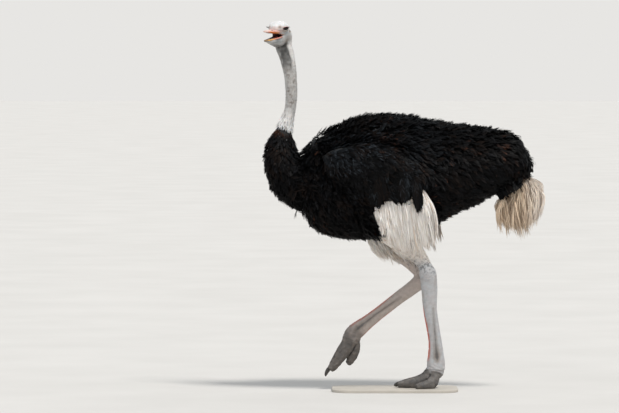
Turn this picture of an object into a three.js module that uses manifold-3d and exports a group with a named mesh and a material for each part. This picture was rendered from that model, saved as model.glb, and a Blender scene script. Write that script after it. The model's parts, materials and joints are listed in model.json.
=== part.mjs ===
// A male ostrich, life size, as a still museum model: it walks on its left foot with the right one lifted, its head
// turned to its left and its bill open. Millimetres, +Z up, head end towards -Y, the bird's left side towards +X.
// Soft parts are bodies swept along a spine; neighbours are parted by thin cuts, so that no two share any space.
import * as THREE from "three";
import { mergeVertices } from "three/addons/utils/BufferGeometryUtils.js";
import Module from "manifold-3d";

const wasm = await Module();
wasm.setup();

// ---- driving dimensions -------------------------------------------------------------------------------------------
const GAP = 0.5; // left between two parts that meet
const SOLE_SINK = 4; // the pads of the standing foot are flattened by this much
const HEAD_TURN = THREE.MathUtils.degToRad(55); // the head looks this far to the bird's left
const HEAD_AT = new THREE.Vector3(46, -648, 1888); // midway between the eyes
const EYE = { radius: 23, out: 31 };

// The trunk with its coat: [y, top, bottom, half-width].
const TRUNK = [
  [-562, 1112, 1010, 70],
  [-540, 1190, 952, 106],
  [-505, 1262, 892, 142],
  [-474, 1308, 846, 165],
  [-431, 1336, 812, 190],
  [-377, 1362, 792, 214],
  [-311, 1396, 781, 236],
  [-240, 1432, 779, 252],
  [-172, 1450, 781, 260],
  [-90, 1449, 788, 264],
  [0, 1437, 804, 264],
  [92, 1425, 829, 258],
  [183, 1406, 862, 246],
  [289, 1390, 924, 228],
  [382, 1377, 960, 204],
  [460, 1368, 1006, 178],
  [540, 1350, 1040, 148],
  [600, 1321, 1062, 118],
  [650, 1266, 1090, 82],
  [688, 1190, 1140, 40],
];
const WIDEST_AT = 0.46; // the height of the trunk's widest line, as a share from its bottom to its top

// Spines below are [x, y, z, half-width to the sides, half-depth behind or above, half-depth in front or below].
const NECK_BARE = [
  [16, -634, 1874, 27, 27, 27],
  [4, -622, 1838, 34, 40, 38],
  [0, -621, 1797, 36, 42, 49],
  [0, -607, 1748, 35, 41, 44],
  [0, -597, 1702, 33, 37, 41],
  [0, -588, 1637, 32, 34, 35],
  [0, -583, 1549, 31, 32, 32],
  [0, -588, 1470, 31, 30, 31],
  [0, -602, 1412, 34, 34, 37],
  [0, -614, 1374, 40, 40, 44],
  [0, -621, 1350, 48, 46, 52],
];
const NECK_FEATHERED = [
  [0, -616, 1366, 40, 42, 45],
  [0, -629, 1326, 58, 66, 66],
  [0, -639, 1262, 80, 88, 84],
  [0, -636, 1197, 98, 100, 96],
  [0, -610, 1138, 116, 112, 106],
  [0, -562, 1088, 132, 124, 120],
  [0, -500, 1066, 138, 126, 134],
];
const NECK_PARTS_AT = 1366; // height at which the black coat starts

// The left leg stands and the right one swings: knee to hock, then hock to toe joint.
const SHANKS = {
  left: [
    [140, -212, 1040, 60, 66, 66],
    [142, -165, 985, 80, 96, 98],
    [135, -104, 908, 86, 108, 106],
    [118, -42, 832, 74, 94, 92],
    [98, 20, 762, 54, 70, 66],
    [83, 68, 708, 37, 47, 45],
    [72, 112, 652, 28, 35, 36],
    [65, 131, 604, 36, 46, 46],
    [61, 138, 566, 31, 44, 42],
  ],
  right: [
    [-140, -262, 950, 60, 66, 46],
    [-142, -214, 906, 80, 92, 66],
    [-136, -150, 842, 84, 102, 74],
    [-124, -86, 778, 72, 88, 66],
    [-110, -20, 714, 54, 62, 50],
    [-100, 42, 656, 37, 42, 38],
    [-95, 92, 608, 30, 36, 36],
    [-92, 118, 578, 35, 46, 46],
    [-90, 110, 548, 30, 42, 42],
  ],
};
const HOCK_AT = { left: 580, right: 560 }; // height at which the shank and the tarsus part
const TARSI = {
  left: [
    [63, 136, 588, 34, 44, 44],
    [58, 141, 520, 27, 41, 43],
    [48, 146, 410, 21, 34, 35],
    [38, 160, 320, 21, 33, 33],
    [30, 171, 250, 22, 34, 33],
    [23, 176, 175, 27, 41, 40],
    [19, 176, 128, 35, 49, 48],
    [18, 174, 92, 38, 50, 46],
  ],
  right: [
    [-90, 110, 566, 32, 42, 42],
    [-89, 66, 530, 26, 37, 38],
    [-85, -32, 456, 21, 32, 33],
    [-82, -110, 396, 21, 32, 32],
    [-79, -178, 343, 23, 35, 35],
    [-77, -228, 304, 29, 42, 42],
    [-76, -260, 274, 36, 47, 46],
    [-76, -268, 246, 36, 44, 42],
  ],
};
// Toes run from the tip back to the joint, so "above" is the back of the toe.
const TOES = {
  inner_left: [
    [-12, -26, 21, 20, 13, 21],
    [-9, 0, 25, 28, 17, 25],
    [-4, 40, 30, 33, 24, 30],
    [2, 88, 37, 34, 31, 37],
    [9, 128, 56, 32, 34, 44],
    [14, 160, 86, 32, 40, 40],
  ],
  outer_left: [
    [98, 66, 17, 12, 9, 17],
    [92, 84, 21, 19, 14, 21],
    [78, 116, 25, 23, 18, 25],
    [58, 150, 33, 24, 24, 33],
    [42, 168, 62, 22, 24, 28],
    [32, 174, 90, 20, 24, 24],
  ],
  inner_right: [
    [-68, -386, 92, 18, 13, 22],
    [-69, -367, 112, 25, 19, 30],
    [-71, -342, 146, 30, 25, 34],
    [-73, -312, 188, 31, 32, 38],
    [-75, -286, 226, 31, 34, 38],
    [-76, -272, 258, 30, 36, 36],
  ],
  outer_right: [
    [-110, -290, 118, 11, 10, 12],
    [-108, -276, 132, 17, 15, 16],
    [-102, -260, 160, 20, 19, 20],
    [-94, -244, 194, 21, 21, 21],
    [-88, -240, 230, 20, 20, 22],
    [-84, -250, 262, 18, 20, 20],
  ],
};
const CLAWS = {
  left: [
    [-14, -44, 9, 5, 3.5, 9],
    [-14, -36, 16, 9, 7, 14],
    [-13, -18, 24, 12, 9, 14],
    [-12, 0, 28, 10, 8, 10],
  ],
  right: [
    [-67, -404, 54, 4, 4, 5],
    [-67, -401, 70, 8, 8, 9],
    [-67, -391, 90, 11, 10, 12],
    [-68, -380, 106, 9, 8, 8],
  ],
};

// A folded wing on the bird's left; the right one mirrors it.
const WING = [
  [186, -424, 1226, 26, 40, 40],
  [226, -356, 1210, 46, 108, 92],
  [242, -262, 1194, 54, 160, 146],
  [248, -166, 1172, 56, 186, 186],
  [250, -74, 1148, 56, 186, 186],
  [244, 10, 1118, 52, 160, 146],
  [232, 80, 1090, 42, 108, 84],
  [216, 128, 1066, 26, 50, 40],
];
const WING_TIP = { out: 238, thick: 20, length: 66 };
// Rounded tips of the wing's large feathers, hanging from its lower edge: [y, bottom, half-width].
const WING_TIPS = [
  [-190, 966, 32],
  [-130, 930, 28],
  [-62, 968, 30],
  [2, 952, 40],
  [80, 898, 29],
];
// White plumes under the wing, from the front one to the rear one.
const PLUMES = { count: 6, rootX: 220, tipX: [232, 186], rootY: [-150, 104], tipY: [-160, 160], half: 37 };
const PLUMES_FROM = 1020; // the plumes hang from this height
const PLUMES_LOWEST = 716; // the lowest plume ends here
const PLUMES_RISE = 150; // the first plume ends this much higher

// Plumes of the tail, which arch over and hang.
const TAIL = { count: 6, rootY: 566, rootZ: 1106, tipY: [486, 722], half: 32, spread: 88 };
const TAIL_LOWEST = 790; // the lowest plume ends here
const TAIL_RISE = 110; // the first plume ends this much higher
// The thick mat from which the tail's plumes hang.
const TAIL_ROOT = [
  [0, 492, 1010, 50, 40, 34],
  [0, 560, 1010, 84, 60, 52],
  [0, 640, 1026, 84, 60, 52],
  [0, 712, 1040, 46, 40, 36],
];

// The walking pose is caught off balance, so the model stands on a plain low base.
const BASE = { left: 200, right: -200, front: -370, back: 290, thickness: 14, corner: 100, bevel: 2 };

const COLOURS = {
  black_feather: { color: 0x14110f, roughness: 0.8, metalness: 0 },
  white_plume: { color: 0xe6ded4, roughness: 0.85, metalness: 0 },
  tail_plume: { color: 0xc2ab94, roughness: 0.85, metalness: 0 },
  downy_skin: { color: 0xc8c2bd, roughness: 0.75, metalness: 0 },
  leg_skin: { color: 0xa89c94, roughness: 0.7, metalness: 0 },
  foot_skin: { color: 0x6f665e, roughness: 0.7, metalness: 0 },
  bill: { color: 0xd39a82, roughness: 0.45, metalness: 0 },
  eye: { color: 0x160d08, roughness: 0.06, metalness: 0 },
  claw: { color: 0x2b2826, roughness: 0.4, metalness: 0 },
  base_paint: { color: 0xb9b2a6, roughness: 0.6, metalness: 0 },
};
const materials = Object.fromEntries(
  Object.entries(COLOURS).map(([name, look]) => [name, new THREE.MeshStandardMaterial({ name, ...look })]),
);

// ---- shaping tools ------------------------------------------------------------------------------------------------
// Rounds an end of a sweep: 0 at the very end, 1 from `length` on.
function roundedEnd(share, length) {
  if (share >= length) return 1;
  const inside = 1 - share / length;
  return Math.sqrt(Math.max(0, 1 - inside * inside));
}

function smoothCurve(points) {
  return new THREE.CatmullRomCurve3(points, false, "centripetal");
}

// A closed body along a smooth spine. `grow` moves its surface outwards, for cutting a neighbour with a gap.
// Its sections lie across the spine, or upright across Y where `upright` is set.
function sweep(stations, { around = 13, along = 13, cap = 0.06, grow = 0, upright = false } = {}) {
  const spine = smoothCurve(stations.map((s) => new THREE.Vector3(s[0], s[1], s[2])));
  const sizes = smoothCurve(stations.map((s) => new THREE.Vector3(s[3], s[4], s[5])));
  const geometry = new THREE.SphereGeometry(1, around, along);
  const position = geometry.attributes.position;
  const ahead = new THREE.Vector3(0, 1, 0);
  const across = new THREE.Vector3();
  const above = new THREE.Vector3();
  const point = new THREE.Vector3();
  for (let row = 0; row <= along; row += 1) {
    const share = (1 - Math.cos((Math.PI * row) / along)) / 2;
    const centre = spine.getPoint(share);
    const size = sizes.getPoint(share);
    if (!upright) spine.getTangent(share, ahead);
    across.set(1, 0, 0).addScaledVector(ahead, -ahead.x).normalize();
    above.crossVectors(across, ahead).normalize();
    const end = Math.min(roundedEnd(share, cap), roundedEnd(1 - share, cap));
    for (let column = 0; column <= around; column += 1) {
      const angle = (2 * Math.PI * (column % around)) / around;
      const wide = (size.x + grow) * end * Math.cos(angle);
      const deep = ((Math.sin(angle) > 0 ? size.y : size.z) + grow) * end * Math.sin(angle);
      point.copy(centre).addScaledVector(across, wide).addScaledVector(above, deep);
      if (row === 0) point.addScaledVector(ahead, -grow);
      if (row === along) point.addScaledVector(ahead, grow);
      position.setXYZ(row * (around + 1) + column, point.x, point.y, point.z);
    }
  }
  return geometry;
}

// A three.js geometry as a solid that can be joined and cut, with its faces turned outwards.
function solid(geometry) {
  const bare = geometry.clone();
  bare.deleteAttribute("normal");
  bare.deleteAttribute("uv");
  const merged = mergeVertices(bare, 1e-3);
  const vertProperties = new Float32Array(merged.attributes.position.array);
  const triVerts = new Uint32Array(merged.index.array);
  const made = new wasm.Manifold(new wasm.Mesh({ numProp: 3, vertProperties, triVerts }));
  if (made.volume() > 0) return made;
  for (let i = 0; i < triVerts.length; i += 3) [triVerts[i], triVerts[i + 1]] = [triVerts[i + 1], triVerts[i]];
  return new wasm.Manifold(new wasm.Mesh({ numProp: 3, vertProperties, triVerts }));
}

const swept = (stations, options) => solid(sweep(stations, options));
const joined = (solids) => solids.reduce((all, one) => all.add(one));
const cutBy = (body, ...cutters) => cutters.reduce((left, cutter) => left.subtract(cutter), body);

// The largest piece that a cut leaves, so that a node is one body.
const largest = (body) => body.decompose().reduce((a, b) => (a.volume() > b.volume() ? a : b));

// A block that reaches from a plane at `start` along an axis, upwards or downwards, to cut with.
const BLOCK = 4000;
function halfSpace(axis, start, direction) {
  const centre = new THREE.Vector3();
  centre[axis] = start + (direction * BLOCK) / 2;
  return solid(new THREE.BoxGeometry(BLOCK, BLOCK, BLOCK).translate(...centre));
}

// An ellipsoid at a point of the head: to its left, back and up from midway between the eyes.
function lump([left, back, up], [wide, long, high], [across, down] = [12, 8]) {
  return solid(new THREE.SphereGeometry(1, across, down).scale(wide, long, high).translate(left, back, up));
}

function geometryOf(body) {
  const mesh = body.getMesh();
  const vertices = new Float32Array(mesh.numVert * 3);
  for (let i = 0; i < mesh.numVert; i += 1) {
    vertices.set(mesh.vertProperties.subarray(i * mesh.numProp, i * mesh.numProp + 3), i * 3);
  }
  const geometry = new THREE.BufferGeometry();
  geometry.setAttribute("position", new THREE.BufferAttribute(vertices, 3));
  geometry.setIndex(new THREE.BufferAttribute(mesh.triVerts, 1));
  geometry.computeVertexNormals();
  return geometry;
}

function addNode(group, name, body, material) {
  const mesh = new THREE.Mesh(geometryOf(body), materials[material]);
  mesh.name = name;
  group.add(mesh);
}

const bird = new THREE.Group();
bird.name = "ostrich";

// ---- trunk --------------------------------------------------------------------------------------------------------
const trunkStations = TRUNK.map(([y, top, bottom, half]) => {
  const middle = bottom + WIDEST_AT * (top - bottom);
  return [0, y, middle, half, top - middle, middle - bottom];
});
const trunkShape = { around: 22, along: 19, cap: 0.02, upright: true };
const trunkCutter = swept(trunkStations, { ...trunkShape, grow: GAP });
addNode(bird, "trunk", swept(trunkStations, trunkShape), "black_feather");

// ---- head, in its own frame: bill towards -Y ------------------------------------------------------------------------
const headGroup = new THREE.Group();
headGroup.position.copy(HEAD_AT);
headGroup.rotation.z = HEAD_TURN;
headGroup.updateMatrix();

// Each is swept from the tip of the bill to the back of the head.
const SKULL = [
  [0, -62, -10, 20, 14, 10],
  [0, -40, -6, 36, 28, 15],
  [0, -20, -2, 45, 36, 20],
  [0, 2, 0, 47, 37, 34],
  [0, 24, -2, 46, 33, 52],
  [0, 44, -8, 42, 27, 62],
  [0, 62, -18, 35, 22, 58],
  [0, 77, -34, 20, 14, 34],
];
const UPPER_BILL = [
  [0, -130, -18, 4, 3, 4],
  [0, -124, -17, 13, 6, 6],
  [0, -108, -16, 20, 9, 7],
  [0, -84, -15, 25, 12, 8],
  [0, -58, -14, 30, 15, 10],
  [0, -34, -13, 35, 20, 14],
  [0, -10, -13, 39, 22, 17],
  [0, 8, -13, 40, 20, 18],
];
const LOWER_BILL = [
  [0, -123, -66, 4, 3, 5],
  [0, -116, -66, 12, 4, 8],
  [0, -97, -65, 19, 6, 12],
  [0, -70, -62, 25, 8, 20],
  [0, -42, -57, 30, 10, 36],
  [0, -16, -51, 35, 11, 48],
  [0, 8, -45, 38, 13, 50],
  [0, 34, -42, 38, 18, 44],
  [0, 54, -42, 26, 16, 34],
];
const MOUTH = [
  [0, -116, -60, 8, 8, 4],
  [0, -98, -58, 14, 10, 5],
  [0, -70, -53, 19, 12, 7],
  [0, -42, -47, 23, 14, 8],
  [0, -18, -41, 26, 12, 8],
  [0, 2, -36, 26, 8, 6],
];
const BROW = { at: [32, -3, 3], size: [21, 34, 27] };
const NOSTRIL = { at: [12, -70, -1], size: [2.6, 9, 4] };
const BILL_JOINS_AT = -30; // where the horny bill gives way to skin

const bothSides = (make) => [1, -1].map(make);
const sideOf = ([left, back, up], side) => [side * left, back, up];
const eyeAt = (side) => [side * EYE.out, 0, 0];
const eyeBall = (side, grow = 0) => lump(eyeAt(side), Array(3).fill(EYE.radius + grow), [12, 7]);
const billEnd = halfSpace("y", BILL_JOINS_AT - GAP / 2, -1);
const skinEnd = halfSpace("y", BILL_JOINS_AT + GAP / 2, 1);
const skullShape = { around: 14, along: 10, cap: 0.1, upright: true };
const billShape = { around: 12, along: 10, cap: 0.04, upright: true };
const skull = swept(SKULL, skullShape);
const upperBill = swept(UPPER_BILL, billShape);
const lowerBill = swept(LOWER_BILL, billShape);
const mouth = swept(MOUTH, { around: 10, along: 7, cap: 0.08, upright: true });
const brows = bothSides((side) => lump(sideOf(BROW.at, side), BROW.size, [10, 6]));
const nostrils = bothSides((side) => lump(sideOf(NOSTRIL.at, side), NOSTRIL.size, [6, 4]));
const sockets = bothSides((side) => eyeBall(side, GAP));
const head = cutBy(joined([skull, upperBill, lowerBill, ...brows]).intersect(skinEnd), ...sockets, mouth);

addNode(headGroup, "eye_left", eyeBall(1), "eye");
addNode(headGroup, "eye_right", eyeBall(-1), "eye");
addNode(headGroup, "bill_upper", largest(cutBy(upperBill.intersect(billEnd), ...nostrils)), "bill");
addNode(headGroup, "bill_lower", largest(cutBy(lowerBill.intersect(billEnd), mouth)), "bill");
addNode(headGroup, "head", largest(head), "downy_skin");
bird.add(headGroup);

// ---- neck ---------------------------------------------------------------------------------------------------------
// The neck is trimmed where it enters the skull and the throat.
const inBird = (body) => solid(geometryOf(body).applyMatrix4(headGroup.matrix));
const headTrim = joined([
  swept(SKULL, { ...skullShape, grow: GAP }),
  swept(LOWER_BILL, { ...billShape, grow: GAP }),
]);
const bareNeck = swept(NECK_BARE, { around: 12, along: 15, cap: 0.03 });
const neckSkinEnd = halfSpace("z", NECK_PARTS_AT + GAP / 2, -1);
const neckCoatEnd = halfSpace("z", NECK_PARTS_AT - GAP / 2, 1);
const coatedNeck = swept(NECK_FEATHERED, { around: 14, along: 11, cap: 0.02 });
addNode(bird, "neck_upper", largest(cutBy(bareNeck, neckSkinEnd, inBird(headTrim))), "downy_skin");
addNode(bird, "neck_lower", largest(cutBy(coatedNeck, neckCoatEnd, trunkCutter)), "black_feather");

// ---- legs ---------------------------------------------------------------------------------------------------------
const underFloor = halfSpace("z", 0, -1);
const lowered = (stations) => stations.map(([x, y, z, ...sizes]) => [x, y, z - SOLE_SINK, ...sizes]);
for (const side of ["left", "right"]) {
  const settle = side === "left" ? lowered : (stations) => stations;
  const inner = settle(TOES[`inner_${side}`]);
  const outer = settle(TOES[`outer_${side}`]);
  const legShape = { around: 12, along: 12 };
  const toeShape = { around: 10, along: 8 };
  const clawShape = { around: 7, along: 6 };
  const leg = swept(SHANKS[side]).add(swept(TARSI[side], legShape));
  const shank = leg.subtract(halfSpace("z", HOCK_AT[side] + GAP / 2, -1));
  const tarsus = leg.subtract(halfSpace("z", HOCK_AT[side] - GAP / 2, 1));
  const tarsusCutter = swept(TARSI[side], { ...legShape, grow: GAP });
  const clawCutter = swept(CLAWS[side], { ...clawShape, grow: GAP });
  const innerCutter = swept(inner, { ...toeShape, grow: GAP });
  const innerToe = cutBy(swept(inner, toeShape), tarsusCutter, clawCutter, underFloor);
  const outerToe = cutBy(swept(outer, toeShape), tarsusCutter, innerCutter, underFloor);
  addNode(bird, `shank_${side}`, largest(shank.subtract(trunkCutter)), "leg_skin");
  addNode(bird, `tarsus_${side}`, largest(tarsus), "leg_skin");
  addNode(bird, `toe_inner_${side}`, largest(innerToe), "foot_skin");
  addNode(bird, `toe_outer_${side}`, largest(outerToe), "foot_skin");
  addNode(bird, `claw_${side}`, swept(CLAWS[side], clawShape).subtract(underFloor), "claw");
}

// ---- wings with their plumes ----------------------------------------------------------------------------------------
const { lerp } = THREE.MathUtils;
const plumeShape = { around: 6, along: 6 };

// A flattened feather tip that hangs outside the flank.
function wingTip([y, bottom, half], grow = 0) {
  const shape = new THREE.SphereGeometry(1, 8, 7).scale(WING_TIP.thick + grow, half + grow, WING_TIP.length + grow);
  return shape.translate(WING_TIP.out, y, bottom + WING_TIP.length);
}

// Loose plumes that hang side by side from under the wing and thin to their tips.
function wingPlumes() {
  return Array.from({ length: PLUMES.count }, (_, i) => {
    const along = i / (PLUMES.count - 1);
    const tipZ = PLUMES_LOWEST + PLUMES_RISE * (1 - Math.sin(Math.PI * lerp(0.08, 0.62, along)));
    const station = (share, wide, thick) => [
      lerp(PLUMES.rootX, lerp(...PLUMES.tipX, along), share ** 2),
      lerp(lerp(...PLUMES.rootY, along), lerp(...PLUMES.tipY, along), share),
      lerp(PLUMES_FROM, tipZ, share),
      thick,
      PLUMES.half * wide,
      PLUMES.half * wide,
    ];
    const stations = [station(0, 0.8, 12), station(0.4, 1, 14), station(0.8, 0.8, 10), station(1, 0.3, 4)];
    return sweep(stations, plumeShape);
  });
}

const mirror = new THREE.Matrix4().makeScale(-1, 1, 1);
const wingShape = { around: 13, along: 10, cap: 0.05 };
for (const side of ["left", "right"]) {
  const onSide = (geometry) => solid(side === "left" ? geometry : geometry.clone().applyMatrix4(mirror));
  const wholeWing = (grow) =>
    joined([sweep(WING, { ...wingShape, grow }), ...WING_TIPS.map((tip) => wingTip(tip, grow))].map(onSide));
  const shankCutter = swept(SHANKS[side], { grow: GAP });
  const plumes = joined(wingPlumes().map(onSide));
  addNode(bird, `wing_${side}`, largest(cutBy(wholeWing(0), trunkCutter, shankCutter)), "black_feather");
  addNode(
    bird,
    `wing_plumes_${side}`,
    largest(cutBy(plumes, trunkCutter, shankCutter, wholeWing(GAP))),
    "white_plume",
  );
}

// ---- tail ---------------------------------------------------------------------------------------------------------
const tailPlumes = Array.from({ length: TAIL.count }, (_, i) => {
  const along = i / (TAIL.count - 1);
  const out = TAIL.spread * (i % 2 ? -1 : 1) * (1 - 0.65 * along);
  const tipY = lerp(...TAIL.tipY, along);
  const tipZ = TAIL_LOWEST + TAIL_RISE * (1 - Math.sin(Math.PI * lerp(0.05, 0.8, along)));
  const archY = lerp(TAIL.rootY, tipY, 0.75) + 30 * along;
  return swept(
    [
      [out * 0.5, TAIL.rootY, TAIL.rootZ, TAIL.half, TAIL.half, TAIL.half],
      [out * 0.9, archY, lerp(TAIL.rootZ, tipZ, 0.35), TAIL.half, TAIL.half, TAIL.half],
      [out, tipY + 12 * along, lerp(TAIL.rootZ, tipZ, 0.75), TAIL.half, TAIL.half * 0.8, TAIL.half * 0.8],
      [out, tipY, tipZ, 9, 8, 8],
    ],
    plumeShape,
  );
});
const tailRoot = swept(TAIL_ROOT, { around: 10, along: 7 });
addNode(bird, "tail", largest(joined([tailRoot, ...tailPlumes]).subtract(trunkCutter)), "tail_plume");

// ---- base ---------------------------------------------------------------------------------------------------------
function roundedRectangle({ left, right, front, back, corner, bevel }) {
  const [x0, x1, y0, y1] = [right + bevel, left - bevel, front + bevel, back - bevel];
  const shape = new THREE.Shape();
  shape.absarc(x1 - corner, y1 - corner, corner, 0, Math.PI / 2);
  shape.absarc(x0 + corner, y1 - corner, corner, Math.PI / 2, Math.PI);
  shape.absarc(x0 + corner, y0 + corner, corner, Math.PI, 1.5 * Math.PI);
  shape.absarc(x1 - corner, y0 + corner, corner, 1.5 * Math.PI, 2 * Math.PI);
  return shape;
}
const plate = new THREE.ExtrudeGeometry(roundedRectangle(BASE), {
  depth: BASE.thickness - 2 * BASE.bevel,
  curveSegments: 4,
  bevelThickness: BASE.bevel,
  bevelSize: BASE.bevel,
  bevelSegments: 1,
});
plate.translate(0, 0, BASE.bevel - BASE.thickness - GAP);
addNode(bird, "stand_base", solid(plate), "base_paint");

// The origin lies on the floor under the middle of the bird.
const extent = new THREE.Box3().setFromObject(bird);
const middle = extent.getCenter(new THREE.Vector3());
bird.position.set(-middle.x, -middle.y, -extent.min.z);

export default bird;
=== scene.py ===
# %% [markdown]
# # A male ostrich in mid stride
# The bird is life size. A solid model gives its pose and its size, and this script gives it skin, a bill, eyes,
# scales and a coat of feathers. Every piece is worked out in millimetres in the bird's own frame: +Z up, the bird
# faces -Y and its left side is +X. Only the last step of each piece turns those numbers into Blender's metres.

# %% The solid model and its box
import json
import math

import bmesh
import bpy
import numpy as np
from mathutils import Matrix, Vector

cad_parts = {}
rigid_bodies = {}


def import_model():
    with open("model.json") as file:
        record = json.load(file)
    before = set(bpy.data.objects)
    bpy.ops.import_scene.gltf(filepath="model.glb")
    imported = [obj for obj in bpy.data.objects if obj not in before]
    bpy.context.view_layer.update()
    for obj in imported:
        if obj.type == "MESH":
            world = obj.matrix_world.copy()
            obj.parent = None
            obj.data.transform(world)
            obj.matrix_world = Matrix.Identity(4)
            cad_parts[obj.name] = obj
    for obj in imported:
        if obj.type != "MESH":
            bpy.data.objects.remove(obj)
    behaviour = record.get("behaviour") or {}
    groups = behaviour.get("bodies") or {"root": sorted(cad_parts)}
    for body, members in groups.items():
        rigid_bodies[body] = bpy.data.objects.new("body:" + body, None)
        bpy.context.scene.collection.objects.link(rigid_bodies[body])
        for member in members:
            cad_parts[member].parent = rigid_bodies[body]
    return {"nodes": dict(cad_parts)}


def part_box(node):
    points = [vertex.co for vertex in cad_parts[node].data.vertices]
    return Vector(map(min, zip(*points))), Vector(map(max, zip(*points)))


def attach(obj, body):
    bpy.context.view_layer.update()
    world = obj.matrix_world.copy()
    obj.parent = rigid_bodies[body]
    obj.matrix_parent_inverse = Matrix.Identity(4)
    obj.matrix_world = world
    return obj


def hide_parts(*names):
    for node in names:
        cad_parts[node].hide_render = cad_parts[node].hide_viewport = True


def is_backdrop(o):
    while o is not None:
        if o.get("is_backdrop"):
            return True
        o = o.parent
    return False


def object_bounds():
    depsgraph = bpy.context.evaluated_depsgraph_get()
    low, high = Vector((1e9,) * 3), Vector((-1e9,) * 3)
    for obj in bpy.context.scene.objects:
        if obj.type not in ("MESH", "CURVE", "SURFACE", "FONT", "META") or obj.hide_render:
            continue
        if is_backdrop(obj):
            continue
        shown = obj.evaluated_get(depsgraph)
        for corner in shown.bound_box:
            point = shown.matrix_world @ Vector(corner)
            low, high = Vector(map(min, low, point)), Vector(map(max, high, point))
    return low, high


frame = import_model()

CAD_LOW, CAD_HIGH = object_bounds()
BASE_MIDDLE = np.array([0.0, -40.0, -7.5])  # the base plate's middle in the bird's own frame
SHIFT = 500 * (np.array(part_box("stand_base")[0]) + np.array(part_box("stand_base")[1])) - BASE_MIDDLE
print("the bird's frame is moved by", SHIFT.round(2), "mm")


def to_model(points):
    """Turns millimetres in the bird's frame into metres in the model's frame."""
    return (np.asarray(points, float) + SHIFT) / 1000


# %% [markdown]
# ## Curves and round bodies
# Necks, legs and toes are all long round bodies. Each is written as a few stations: a place on its middle line, its
# half-width and its half-depth above and below. A smooth curve runs through the stations. Such a body could be
# lofted straight into faces, but neighbours would then meet in hard creases. Here each body only answers one
# question: how far is a point from its surface? Such answers can be blended, as wet clay is, before any face is made.

# %% Curves through stations


def smooth_curve(rows, shares):
    """Points on a centripetal Catmull-Rom curve through the rows, at shares from 0 to 1."""
    rows = np.asarray(rows, float)
    last = len(rows) - 1
    at = np.clip(shares, 0, 1) * last
    i = np.minimum(at.astype(int), last - 1)
    w = (at - i)[:, None]
    padded = np.vstack([2 * rows[0] - rows[1], rows, 2 * rows[-1] - rows[-2]])
    p0, p1, p2, p3 = (padded[i + k] for k in range(4))
    gaps = [np.sqrt(np.linalg.norm(b - a, axis=1, keepdims=True)) for a, b in ((p0, p1), (p1, p2), (p2, p3))]
    d1 = np.where(gaps[1] < 1e-4, 1, gaps[1])
    d0 = np.where(gaps[0] < 1e-4, d1, gaps[0])
    d2 = np.where(gaps[2] < 1e-4, d1, gaps[2])
    t1 = ((p1 - p0) / d0 - (p2 - p0) / (d0 + d1) + (p2 - p1) / d1) * d1
    t2 = ((p2 - p1) / d1 - (p3 - p1) / (d1 + d2) + (p3 - p2) / d2) * d1
    return p1 + t1 * w + (-3 * p1 + 3 * p2 - 2 * t1 - t2) * w**2 + (2 * p1 - 2 * p2 + t1 + t2) * w**3


def unit(vectors):
    return vectors / np.maximum(np.linalg.norm(vectors, axis=-1, keepdims=True), 1e-9)


def dot(a, b):
    return (a * b).sum(-1)


def nearest(centres, points, chunk=8192):
    """For each point, the index of the nearest centre."""
    found = np.empty(len(points), int)
    middle = centres.mean(axis=0)
    near = (centres - middle).astype(np.float32)
    size = dot(near, near)
    for start in range(0, len(points), chunk):
        part = (points[start : start + chunk] - middle).astype(np.float32)
        found[start : start + chunk] = np.argmin(size - 2 * part @ near.T, axis=1)
    return found


FAR = 24.0  # mm beyond which a rough distance is enough


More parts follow.
